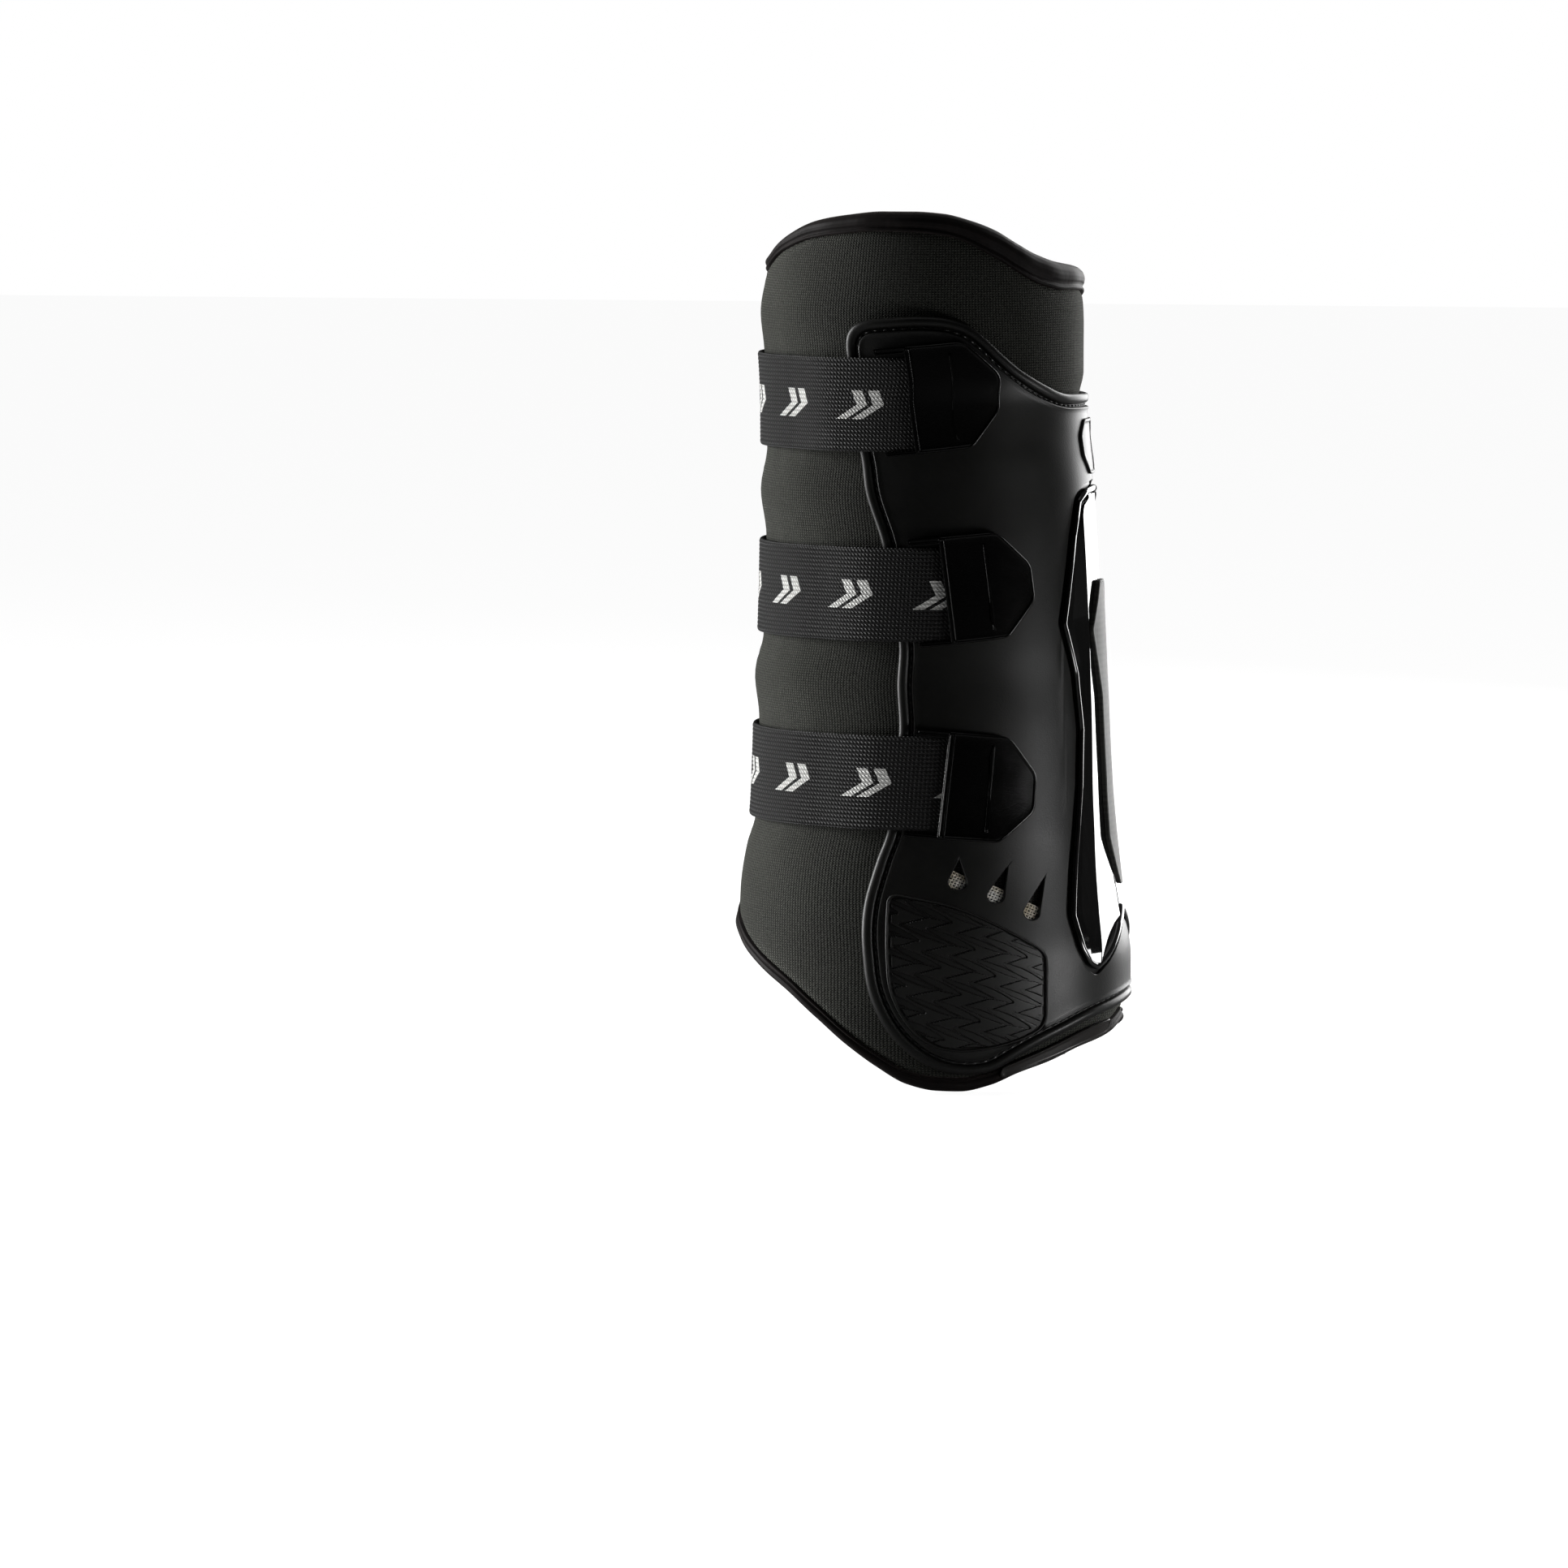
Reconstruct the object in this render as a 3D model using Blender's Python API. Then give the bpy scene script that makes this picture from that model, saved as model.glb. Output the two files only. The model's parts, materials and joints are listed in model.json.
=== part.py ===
"""A horse's tendon boot for the left foreleg: a moulded guard and a glossy spine on a
neoprene sleeve that opens at the front, closed by three elastic straps with rubber tabs.

+X points to the back of the leg (the tendon), -X to the front, -Y to the outer side,
+Z up. Heights are measured from the lowest point of the hem. The origin is on the leg's
axis at that height.

Every layer lies on one wall surface. A place on it is (angle, height): the angle, in
degrees, runs from the back (0) over the inner side (90), the front (180) and the outer
side (270) to the back again (360). An offset is the distance outwards from the neoprene's
outer face. Sizes are in millimetres and become metres in the meshes.
"""

import math

import bmesh
import bpy
import numpy as np
from mathutils import Vector
from mathutils.geometry import delaunay_2d_cdt

MM = 0.001

# Wall surface at each height: where its front and back are, and its half width. The
# straps squeeze the sleeve, and it bulges between them; the guard presses into its back.
WALL_FRONT = [
    (0, -62.0), (25, -64.2), (45, -64.2), (61, -63.6), (75, -61.5), (84.5, -58.7),
    (100.5, -57.8), (117, -57.4), (131, -59.0), (145, -56.0), (161, -55.5), (177, -55.2),
    (192, -57.0), (206, -54.9), (222, -55.0), (238, -55.8), (250, -57.0), (262, -55.0),
    (284, -50.5),
]
WALL_BACK = [
    (0, 59.2), (15, 61.3), (25, 62.3), (40, 62.3), (58, 59.0), (70, 57.0), (82, 55.6),
    (98, 54.2), (140, 52.2), (178, 50.3), (200, 48.8), (212, 47.6), (222, 47.3),
    (231, 49.0), (245, 49.0), (262, 48.0), (284, 45.8),
]
WALL_HALF = [
    (0, 48.5), (25, 50.0), (45, 49.5), (70, 47.0), (98, 44.5), (140, 42.0), (190, 41.0),
    (215, 41.0), (240, 42.0), (262, 42.5), (284, 41.0),
]
BACK_NARROWING = 0.08

# Rims of the outer side, angle and height. The inner side mirrors them, with its top lower
INNER_TOP_DROP = 11.0
TOP_RIM = [
    (180, 266.5), (195, 269.2), (215, 276.6), (230, 280.7), (245, 282.6), (260, 283.7),
    (273, 283.7), (285, 283.0), (296, 280.8), (306, 277.8), (315, 273.8), (325, 270.0),
    (338, 267.3), (360, 265.5),
]
BOTTOM_RIM = [
    (180, 51.0), (198, 45.2), (215, 38.0), (230, 31.0), (242, 22.8), (252, 14.8),
    (262, 7.6), (271, 2.4), (280, 0.3), (288, 0.0), (297, 1.8), (306, 5.4), (317, 8.6),
    (330, 12.6), (345, 15.0), (360, 18.4),
]

# Layers, as offsets
LINER = (-8.5, -5.4)
NEOPRENE = (-5.0, 0.0)
BINDING = (-8.6, 0.6)
MESH = (0.25, 0.5)
GUARD = (0.95, 2.8)
TREAD_PAD = (0.95, 2.7)
LOOP_PAD = (0.5, 2.6)
HOOK_PAD = (3.0, 4.0)
TAB = (4.3, 6.0)
STRAP_THICKNESS = 1.4
STRAP_ON_SLEEVE = 0.95
STRAP_ON_GUARD = 3.7
ANCHOR = (2.7, 3.7)
SPINE_FRAME = (3.1, 4.0)
SPINE_PLATE = (0.95, 3.4)
SPINE_INSERT = (3.7, 4.8)
EMBLEM = (3.1, 3.7)
LABEL = (0.95, 1.6)

# Sleeve panels: the outer one is fixed, the inner one folds back about the hinge line
OUTER_PANEL = (178.2, 413.4)
INNER_PANEL = (54.6, 177.2)
TOP_BINDING_HEIGHT = [
    (180, 3.6), (200, 3.9), (225, 5.4), (270, 6.0), (290, 6.8), (305, 9.0), (320, 9.6),
    (335, 9.0), (348, 8.0), (360, 7.6),
]
HEM_BINDING_HEIGHT = 4.6
SEWN_GAP = 0.35
EDGE_BINDING_ANGLE = 2.6
EDGE_GAP_ANGLE = 0.4

# Moulded guard of the outer side: front edge going down, lower edge, and top edge going
# forward. It reaches round the back to the inner side, where a second guard follows.
GUARD_FRONT = [
    (249.5, 238), (255.5, 207), (263.5, 176), (267.5, 146), (268.5, 116), (265.5, 86),
    (262, 72.5), (259, 60.5), (258, 49), (258.5, 39), (260, 31.5), (263.5, 23),
    (268, 16.5), (274.5, 10.5), (281, 7.2), (288.5, 5.8),
]
GUARD_LOWER = [(296.5, 6.6), (310, 14.8), (330, 22.5), (345, 25)]
GUARD_TOP = [
    (335, 224.5), (321, 229), (312.5, 233), (305, 238.5), (299.5, 243.5), (294, 247.5),
    (286, 250), (276, 250.5), (266, 249.5), (257.5, 248.5), (252, 247), (249.5, 243.5),
]
GUARD_BACK = (26.5, 224.0)  # lower and top edge round the back
GUARD_INNER_EDGE = 47.0
INNER_GUARD_BACK = (298.0, 9.5, 242.5)  # mirrored angle, lower and top height

# Tread pad let into the guard, and the smaller one of the inner side
TREAD_OUTLINE = [
    (268, 65), (274, 65.5), (286, 61.5), (298, 55.5), (310, 48), (313, 45), (313, 24),
    (311.5, 20.5), (306, 17.5), (297, 14.7), (287, 13.6), (279.5, 14.8), (273, 19.5),
    (268.5, 26.5), (265.5, 35), (265, 44.5), (266, 55),
]
INNER_TREAD_OUTLINE = [
    (268, 65), (274, 65.5), (286, 61.5), (291.5, 59), (293, 56.5), (293, 17.5),
    (291.5, 15), (287, 13.6), (279.5, 14.8), (273, 19.5), (268.5, 26.5), (265.5, 35),
    (265, 44.5), (266, 55),
]
WINDOW_CLEARANCE = 0.4

# Vents: centre of the round end, its radius, and the tip
VENTS = [
    ((287.5, 68.5), 2.5, (288.0, 76.0)),
    ((299.0, 64.0), 2.4, (303.3, 73.2)),
    ((310.2, 58.2), 2.4, (316.3, 69.3)),
]
VENT_ARC_POINTS = 9
MESH_OUTLINE = [(283, 78), (283, 64), (299, 58), (316, 53.5), (319, 71), (303, 77)]
INNER_MESH_OUTLINE = [(283, 78), (283, 64), (292, 61), (292, 77.5)]

# Straps and tabs: strap's middle height, angle of the tab's horn tips, tab's tilt
CLOSURES = {
    "top": (222.0, 263.0, 6.0),
    "middle": (161.0, 273.0, 5.5),
    "bottom": (100.5, 272.0, -6.0),
}
STRAP_HALF = 15.0
STRAP_PIVOT_ANGLE = 174.6
STRAP_SEWN_ANGLE = 126.0
STRAP_RISE_ANGLE = 12.0
STRAP_RISE_AHEAD = 2.5
ANCHOR_ANGLES = (125.5, 139.0)
ANCHOR_HALF = 16.6
FOLD_GAP = 0.3

# In the tab's own plane: along the strap from the horn tips, and up
TAB_OUTLINE = [
    (0.3, 15.6), (9.4, 15.6), (9.4, -15.3), (0.3, -15.3), (0.3, -16.9), (26.5, -16.6),
    (29, -15.2), (36, -6.8), (37, -4), (37, 4.5), (36, 7.3), (29, 16.3), (26.5, 17.8),
    (0.3, 18.0),
]
STRAP_END_OUTLINE = [(0.3, -15), (9.0, -15), (9.0, 15), (0.3, 15)]
FASTENER_OUTLINE = [(11, -14), (26, -14), (34.4, -4.5), (34.4, 4.8), (26, 14.4), (11, 14.4)]

# Spine on the back: its outer half from top to bottom, as angles from the back's middle
SPINE_HALF = [
    (12, 193.5), (19, 190.5), (24, 179), (32, 150.5), (26, 134), (24, 116), (26, 97.5),
    (35.5, 56.5), (34, 45.5), (31, 40), (27, 38), (21, 41.5), (8, 50.5),
]
SPINE_TOP, SPINE_NOTCH = 194.5, 55.0
SPINE_RIM = 2.4
INSERT_HALF = [(5, 163.5), (15, 148), (8, 126), (7.5, 100), (9, 80), (2, 64)]
EMBLEM_HALF = [(8, 216), (12.5, 211), (11.5, 204), (5, 198)]
LABEL_OUTLINE = [
    (300, 4.2), (310, 8), (330, 14.2), (344, 16.8), (344, 21.2), (330, 19.4), (310, 11.8),
    (300, 7.6),
]

# Lattice of the sleeve layers, of the guards and of the small pieces: angle step, heights
COARSE = (9.0, np.array([height for height, _ in WALL_FRONT]))
MIDDLE = (6.5, np.arange(0, 290, 14))
FINE = (5.0, np.arange(0, 290, 12))
ROW_CLEARANCE = 2.5
RIM_STEP = 6.0
DEGREE_LENGTH = 0.9  # arc of one degree on the outer side

COLOURS = {
    "neoprene": ((0.045, 0.046, 0.040), 0.9, 0.0),
    "lining": ((0.020, 0.020, 0.020), 0.6, 0.0),
    "binding": ((0.010, 0.009, 0.009), 0.8, 0.0),
    "guard": ((0.012, 0.012, 0.011), 0.45, 0.0),
    "gloss": ((0.004, 0.004, 0.004), 0.06, 0.0),
    "carbon": ((0.080, 0.080, 0.072), 0.5, 0.0),
    "elastic": ((0.008, 0.008, 0.008), 0.4, 0.0),
    "tab": ((0.004, 0.004, 0.004), 0.5, 0.0),
    "fastener": ((0.006, 0.006, 0.006), 0.95, 0.0),
    "wire_mesh": ((0.45, 0.42, 0.38), 0.35, 0.9),
    "label": ((0.018, 0.015, 0.012), 0.6, 0.0),
}


def curve_through(keys):
    """A smooth curve y(x) through the keys that never overshoots them: cubic pieces whose
    slope at a key is the harmonic mean of the slopes on both sides, or 0 at a turn."""
    x, y = np.array(keys, float).T
    sides = np.diff(y) / np.diff(x)
    before, after = sides[:-1], sides[1:]
    same = before * after > 0
    total = np.where(same, before + after, 1.0)
    slope = np.array([sides[0], *np.where(same, 2 * before * after / total, 0.0), sides[-1]])

    def value(at):
        at = np.clip(np.asarray(at, float), x[0], x[-1])
        i = np.clip(np.searchsorted(x, at, side="right") - 1, 0, len(x) - 2)
        width = x[i + 1] - x[i]
        t = (at - x[i]) / width
        return (
            y[i] * (1 + 2 * t) * (1 - t) ** 2
            + y[i + 1] * t * t * (3 - 2 * t)
            + width * (slope[i] * t * (1 - t) ** 2 - slope[i + 1] * t * t * (1 - t))
        )

    return value


wall_front = curve_through(WALL_FRONT)
wall_back = curve_through(WALL_BACK)
wall_half = curve_through(WALL_HALF)
top_binding_height = curve_through(TOP_BINDING_HEIGHT)
top_of_outer_side = curve_through(TOP_RIM)
bottom_of_outer_side = curve_through(BOTTOM_RIM)


def outer_side(angle):
    """The angle's mirror image on the outer side, from 180 to 360 degrees."""
    angle = np.mod(angle, 360.0)
    return np.where(angle < 180.0, 360.0 - angle, angle)


def top_rim(angle):
    drop = INNER_TOP_DROP * np.clip(np.sin(np.radians(angle)), 0, 1)
    return top_of_outer_side(outer_side(angle)) - drop


def bottom_rim(angle):
    return bottom_of_outer_side(outer_side(angle))


def wall_points(angle, height, offset):
    """Points in millimetres: an egg-shaped section at each height, and the offset along
    its horizontal normal."""
    turn = np.radians(angle)
    front, back, half = wall_front(height), wall_back(height), wall_half(height)
    reach = (back - front) / 2
    x = (back + front) / 2 + reach * np.cos(turn)
    y = half * np.sin(turn) * (1 - BACK_NARROWING * np.cos(turn))
    along_x = -reach * np.sin(turn)
    along_y = half * (np.cos(turn) - BACK_NARROWING * np.cos(2 * turn))
    length = np.hypot(along_x, along_y)
    return np.stack(
        [x + offset * along_y / length, y - offset * along_x / length, height + 0 * x], -1
    )


def divided(outline, angle_step, rows):
    """The closed outline with points added: where a steep side meets the rows, and evenly
    on a flat one."""
    points = []
    for start, end in zip(outline, outline[1:] + outline[:1]):
        start, side = np.array(start, float), np.subtract(end, start)
        if abs(side[1]) > abs(side[0]):
            shares = np.sort((rows - start[1]) / side[1])
            clear = ROW_CLEARANCE / abs(side[1])
            shares = [0.0, *shares[(shares > clear) & (shares < 1 - clear)]]
        else:
            parts = math.ceil(abs(side[0]) / angle_step - 1e-6)
            shares = np.arange(parts) / parts
        points += [tuple(start + side * share) for share in shares]
    return points


def inside(points, loop):
    """For each point, whether it lies inside the closed loop."""
    found = np.zeros(len(points), bool)
    for (x0, y0), (x1, y1) in zip(loop, loop[1:] + loop[:1]):
        crosses = (points[:, 1] < y0) != (points[:, 1] < y1)
        if y0 != y1:
            at = x0 + (points[:, 1] - y0) * (x1 - x0) / (y1 - y0)
            found ^= crosses & (points[:, 0] < at)
    return found


def distance_to(points, loop):
    """For each point, how far the closed loop is."""
    best = np.full(len(points), np.inf)
    for start, end in zip(loop, loop[1:] + loop[:1]):
        start, side = np.array(start), np.array(end) - np.array(start)
        share = np.clip((points - start) @ side / max(side @ side, 1e-12), 0, 1)
        best = np.minimum(best, np.linalg.norm(points - start - share[:, None] * side, axis=1))
    return best


def flat_triangles(outline, holes, angle_step, rows):
    """The outline filled with triangles on a lattice, with the holes left out."""
    scale = np.array([DEGREE_LENGTH, 1.0])
    loops = [
        [tuple(np.array(p) * scale) for p in divided(loop, angle_step, rows)]
        for loop in [outline, *holes]
    ]
    angles = np.array(outline)[:, 0]
    first, last = np.ceil(angles.min() / angle_step), angles.max() / angle_step
    columns = np.arange(first, last) * angle_step
    lattice = np.stack(np.meshgrid(columns, rows), -1).reshape(-1, 2) * scale
    margin = 0.25 * angle_step * DEGREE_LENGTH
    for number, loop in enumerate(loops):
        if len(lattice):
            clear = distance_to(lattice, loop) > margin
            lattice = lattice[clear & (inside(lattice, loop) == (number == 0))]
    points = [p for loop in loops for p in loop]
    sides, first = [], 0
    for loop in loops:
        sides += [(first + i, first + (i + 1) % len(loop)) for i in range(len(loop))]
        first += len(loop)
    points = [Vector(p) for p in points] + [Vector(p) for p in lattice]
    flat, _, faces, *_ = delaunay_2d_cdt(points, sides, [], 0, 1e-5)
    flat = np.array([tuple(p) for p in flat])
    faces = np.array([tuple(f) for f in faces])
    centres = flat[faces].mean(axis=1)
    u, v = (flat[faces[:, i]] - flat[faces[:, 0]] for i in (1, 2))
    keep = inside(centres, loops[0]) & (abs(u[:, 0] * v[:, 1] - u[:, 1] * v[:, 0]) > 1e-3)
    for hole in loops[1:]:
        keep &= ~inside(centres, hole)
    return flat / scale, faces[keep]


def material(name):
    made = bpy.data.materials.get(name)
    if made is None:
        colour, roughness, metallic = COLOURS[name]
        made = bpy.data.materials.new(name)
        made.use_nodes = True
        shader = made.node_tree.nodes["Principled BSDF"]
        shader.inputs["Base Color"].default_value = (*colour, 1.0)
        shader.inputs["Roughness"].default_value = roughness
        shader.inputs["Metallic"].default_value = metallic
    return made


def patch(name, outline, layer, finish, holes=(), steps=FINE):
    """A solid piece of one layer: its outline on the wall, between two offsets. An offset
    is a number, or a function of the angle."""
    flat, faces = flat_triangles(outline, list(holes), *steps)
    angle, height = flat.T
    inner, outer = [o(angle) if callable(o) else o for o in layer]
    points = np.concatenate(
        [wall_points(angle, height, inner), wall_points(angle, height, outer)]
    )
    count = len(flat)
    sides = {}
    for a, b, c in faces:
        for side in ((a, b), (b, c), (c, a)):
            if (side[1], side[0]) in sides:
                del sides[(side[1], side[0])]
            else:
                sides[side] = True
    solid = [tuple(f) for f in faces + count] + [tuple(f[::-1]) for f in faces]
    solid += [(b, a, a + count) for a, b in sides]
    solid += [(b, a + count, b + count) for a, b in sides]
    mesh = bpy.data.meshes.new(name)
    mesh.from_pydata((points * MM).tolist(), [], [tuple(map(int, f)) for f in solid])
    tidy = bmesh.new()
    tidy.from_mesh(mesh)
    used = [v for v in tidy.verts if not v.link_faces]
    bmesh.ops.delete(tidy, geom=used, context="VERTS")
    bmesh.ops.recalc_face_normals(tidy, faces=tidy.faces)
    tidy.to_mesh(mesh)
    tidy.free()
    mesh.materials.append(material(finish))
    made = bpy.data.objects.new(name, mesh)
    bpy.context.scene.collection.objects.link(made)
    return made


def mirrored(outline):
    """The outline on the other side of the leg."""
    return [(360.0 - angle, height) for angle, height in reversed(outline)]


def grown(outline, by):
    """The outline moved out by a distance, each corner along its bisector."""
    scale = np.array([DEGREE_LENGTH, 1.0])
    points = np.array(outline, float) * scale
    before, after = np.roll(points, 1, axis=0), np.roll(points, -1, axis=0)
    area = np.sum(before[:, 0] * points[:, 1] - points[:, 0] * before[:, 1])
    moved = []
    for previous, point, following in zip(before, points, after):
        normals = []
        for side in (point - previous, following - point):
            normals.append(np.array([side[1], -side[0]]) / np.linalg.norm(side))
        bisector = sum(normals)
        bisector *= np.sign(area) * by / max(0.35, bisector @ normals[0])
        moved.append(tuple((point + bisector) / scale))
    return moved


def both_halves(half, top=None, bottom=None):
    """A closed outline about the back's middle from its outer half, top to bottom."""
    outer = [(360.0 - angle, height) for angle, height in half]
    inner = [(360.0 + angle, height) for angle, height in reversed(half)]
    middle_low = [] if bottom is None else [(360.0, bottom)]
    middle_high = [] if top is None else [(360.0, top)]
    return outer + middle_low + inner + middle_high


def between(start, end, low, high):
    """The outline between two curves of the angle, from one angle to another."""
    step = RIM_STEP
    angles = np.arange(math.floor(start / step) + 1, math.ceil(end / step)) * step
    angles = np.array([start, *angles[(angles > start + 1) & (angles < end - 1)], end])
    lower = [(float(a), float(low(a))) for a in angles]
    upper = [(float(a), float(high(a))) for a in angles[::-1]]
    return lower + upper


def sleeve_panel(side, start, end):
    """Neoprene, gel liner and bindings of one panel. Its front edge is bound."""

    def under_top(angle):
        return top_rim(angle) - top_binding_height(outer_side(angle))

    def over_hem(angle):
        return bottom_rim(angle) + HEM_BINDING_HEIGHT

    def low(angle):
        return over_hem(angle) + SEWN_GAP

    def high(angle):
        return under_top(angle) - SEWN_GAP

    top = between(start, end, under_top, top_rim)
    patch(f"top_binding_{side}", top, BINDING, "binding", steps=COARSE)
    hem = between(start, end, bottom_rim, over_hem)
    patch(f"hem_binding_{side}", hem, BINDING, "binding", steps=COARSE)
    if side == "outer":
        edge = (start, start + EDGE_BINDING_ANGLE)
        start = edge[1] + EDGE_GAP_ANGLE
    else:
        edge = (end - EDGE_BINDING_ANGLE, end)
        end = edge[0] - EDGE_GAP_ANGLE
    patch(f"front_binding_{side}", between(*edge, low, high), BINDING, "binding", steps=COARSE)
    panel = between(start, end, low, high)
    patch(f"neoprene_{side}", panel, NEOPRENE, "neoprene", steps=COARSE)
    patch(f"gel_liner_{side}", panel, LINER, "lining", steps=COARSE)


def teardrop(centre, radius, tip):
    """A round end and straight sides to the tip, as a closed outline."""
    scale = np.array([DEGREE_LENGTH, 1.0])
    middle, point = np.array(centre) * scale, np.array(tip) * scale
    way = point - middle
    lean = math.atan2(way[1], way[0])
    open_half = math.acos(radius / np.linalg.norm(way))
    turns = np.linspace(lean + open_half, lean - open_half + 2 * math.pi, VENT_ARC_POINTS)
    arc = middle + radius * np.stack([np.cos(turns), np.sin(turns)], -1)
    return [tip, *map(tuple, arc / scale)]


def on_tab(name, along, up):
    """The wall place of a point given in the tab's own plane."""
    height, angle, tilt = CLOSURES[name]
    c, s = math.cos(math.radians(tilt)), math.sin(math.radians(tilt))
    return (angle + (along * c - up * s) / DEGREE_LENGTH, height + along * s + up * c)


def guard_front_at(height):
    front = sorted((h, a) for a, h in GUARD_FRONT)
    return float(np.interp(height, [h for h, _ in front], [a for _, a in front]))


def strap_layer(height):
    """The strap's two offsets as functions of the angle: it climbs onto the guard."""
    on_top = min(guard_front_at(height + s * STRAP_HALF) for s in (-1, 1)) - STRAP_RISE_AHEAD

    def inner(angle):
        t = np.clip((angle - on_top) / STRAP_RISE_ANGLE + 1, 0, 1)
        return STRAP_ON_SLEEVE + (STRAP_ON_GUARD - STRAP_ON_SLEEVE) * t * t * (3 - 2 * t)

    return inner, lambda angle: inner(angle) + STRAP_THICKNESS


def closure(name):
    """One strap with its sewn end and anchor, its tab and both halves of the fastener.
    Returns the window that the guard needs for the loop pad."""
    height = CLOSURES[name][0]
    layer = strap_layer(height)
    low, high = height - STRAP_HALF, height + STRAP_HALF
    fold = FOLD_GAP / DEGREE_LENGTH
    sewn = [(STRAP_SEWN_ANGLE, low), (STRAP_PIVOT_ANGLE - fold, low)]
    sewn += [(angle, high) for angle, _ in reversed(sewn)]
    patch(f"{name}_strap_sewn_end", sewn, layer, "elastic")
    anchor = [(angle, height - ANCHOR_HALF) for angle in ANCHOR_ANGLES]
    anchor += [(angle, height + ANCHOR_HALF) for angle in reversed(ANCHOR_ANGLES)]
    patch(f"{name}_strap_anchor", anchor, ANCHOR, "guard")

    ends = [on_tab(name, -FOLD_GAP, s * STRAP_HALF)[0] for s in (-1, 1)]
    start = STRAP_PIVOT_ANGLE + fold
    band = [(start, low), (ends[0], low), (ends[1], high), (start, high)]
    patch(f"{name}_strap", band, layer, "elastic")
    strap_end = [on_tab(name, *p) for p in STRAP_END_OUTLINE]
    patch(f"{name}_strap_end", strap_end, layer, "elastic")
    patch(f"{name}_tab", [on_tab(name, *p) for p in TAB_OUTLINE], TAB, "tab")
    pad = [on_tab(name, *p) for p in FASTENER_OUTLINE]
    patch(f"{name}_hook_pad", pad, HOOK_PAD, "fastener")
    patch(f"{name}_loop_pad", pad, LOOP_PAD, "fastener")
    return grown(pad, WINDOW_CLEARANCE)


def spine_outline(inset=0.0):
    return grown(both_halves(SPINE_HALF, SPINE_TOP, SPINE_NOTCH), -inset)


def guards(windows):
    """The moulded guards with their tread pads and mesh-backed vents."""
    vents = [teardrop(*vent) for vent in VENTS]
    low, high = GUARD_BACK
    back = [(360.0, low), (360.0 + GUARD_INNER_EDGE, low)]
    back += [(angle, high) for angle, _ in reversed(back)]
    holes = [*windows, grown(TREAD_OUTLINE, WINDOW_CLEARANCE), *vents, spine_outline(SPINE_RIM)]
    outline = GUARD_FRONT + GUARD_LOWER + back + GUARD_TOP
    patch("guard_outer", outline, GUARD, "guard", holes, MIDDLE)
    patch("tread_pad_outer", TREAD_OUTLINE, TREAD_PAD, "guard")
    patch("vent_mesh_outer", MESH_OUTLINE, MESH, "wire_mesh")

    edge, low, high = INNER_GUARD_BACK
    outline = GUARD_FRONT + [(edge, low), (edge, high)] + [p for p in GUARD_TOP if p[0] < edge]
    holes = [mirrored(grown(INNER_TREAD_OUTLINE, WINDOW_CLEARANCE)), mirrored(vents[0])]
    patch("guard_inner", mirrored(outline), GUARD, "guard", holes, MIDDLE)
    patch("tread_pad_inner", mirrored(INNER_TREAD_OUTLINE), TREAD_PAD, "guard")
    patch("vent_mesh_inner", mirrored(INNER_MESH_OUTLINE), MESH, "wire_mesh")


def spine():
    """Glossy frame and plate with a matte insert, and the small emblem above them."""
    patch("spine_frame", spine_outline(), SPINE_FRAME, "gloss", holes=[spine_outline(SPINE_RIM)])
    plate = spine_outline(SPINE_RIM + WINDOW_CLEARANCE)
    patch("spine_plate", plate, SPINE_PLATE, "gloss")
    patch("spine_insert", both_halves(INSERT_HALF), SPINE_INSERT, "carbon")
    patch("emblem", both_halves(EMBLEM_HALF), EMBLEM, "guard")


def main():
    for old in list(bpy.data.objects):
        bpy.data.objects.remove(old, do_unlink=True)

    sleeve_panel("outer", *OUTER_PANEL)
    sleeve_panel("inner", *INNER_PANEL)
    guards([closure(name) for name in CLOSURES])
    spine()
    patch("label", LABEL_OUTLINE, LABEL, "label")


main()
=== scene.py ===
import math

import bmesh
import bpy
import numpy as np
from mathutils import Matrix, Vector
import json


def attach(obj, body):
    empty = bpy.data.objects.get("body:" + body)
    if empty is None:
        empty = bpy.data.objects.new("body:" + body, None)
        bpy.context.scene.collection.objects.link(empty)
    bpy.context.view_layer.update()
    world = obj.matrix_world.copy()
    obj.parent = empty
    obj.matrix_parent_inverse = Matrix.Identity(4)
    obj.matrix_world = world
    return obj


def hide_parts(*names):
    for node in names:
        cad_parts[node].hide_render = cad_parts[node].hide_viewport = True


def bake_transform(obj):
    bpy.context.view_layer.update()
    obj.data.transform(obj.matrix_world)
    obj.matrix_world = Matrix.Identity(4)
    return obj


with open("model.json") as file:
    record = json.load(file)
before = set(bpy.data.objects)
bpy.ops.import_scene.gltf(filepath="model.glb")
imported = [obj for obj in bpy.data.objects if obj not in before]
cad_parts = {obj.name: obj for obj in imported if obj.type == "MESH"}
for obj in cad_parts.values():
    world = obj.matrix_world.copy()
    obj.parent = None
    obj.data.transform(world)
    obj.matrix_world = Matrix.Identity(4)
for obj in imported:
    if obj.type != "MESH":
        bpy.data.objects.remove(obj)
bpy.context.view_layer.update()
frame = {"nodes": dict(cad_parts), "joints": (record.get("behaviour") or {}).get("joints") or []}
print("frame loaded")

# The wall that every layer lies on. A place is (angle, height, offset): degrees from the back (0)
# over the inner side (90), the front (180) and the outer side (270), and millimetres up and out from
# the neoprene's face. Meshes are in metres.

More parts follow.
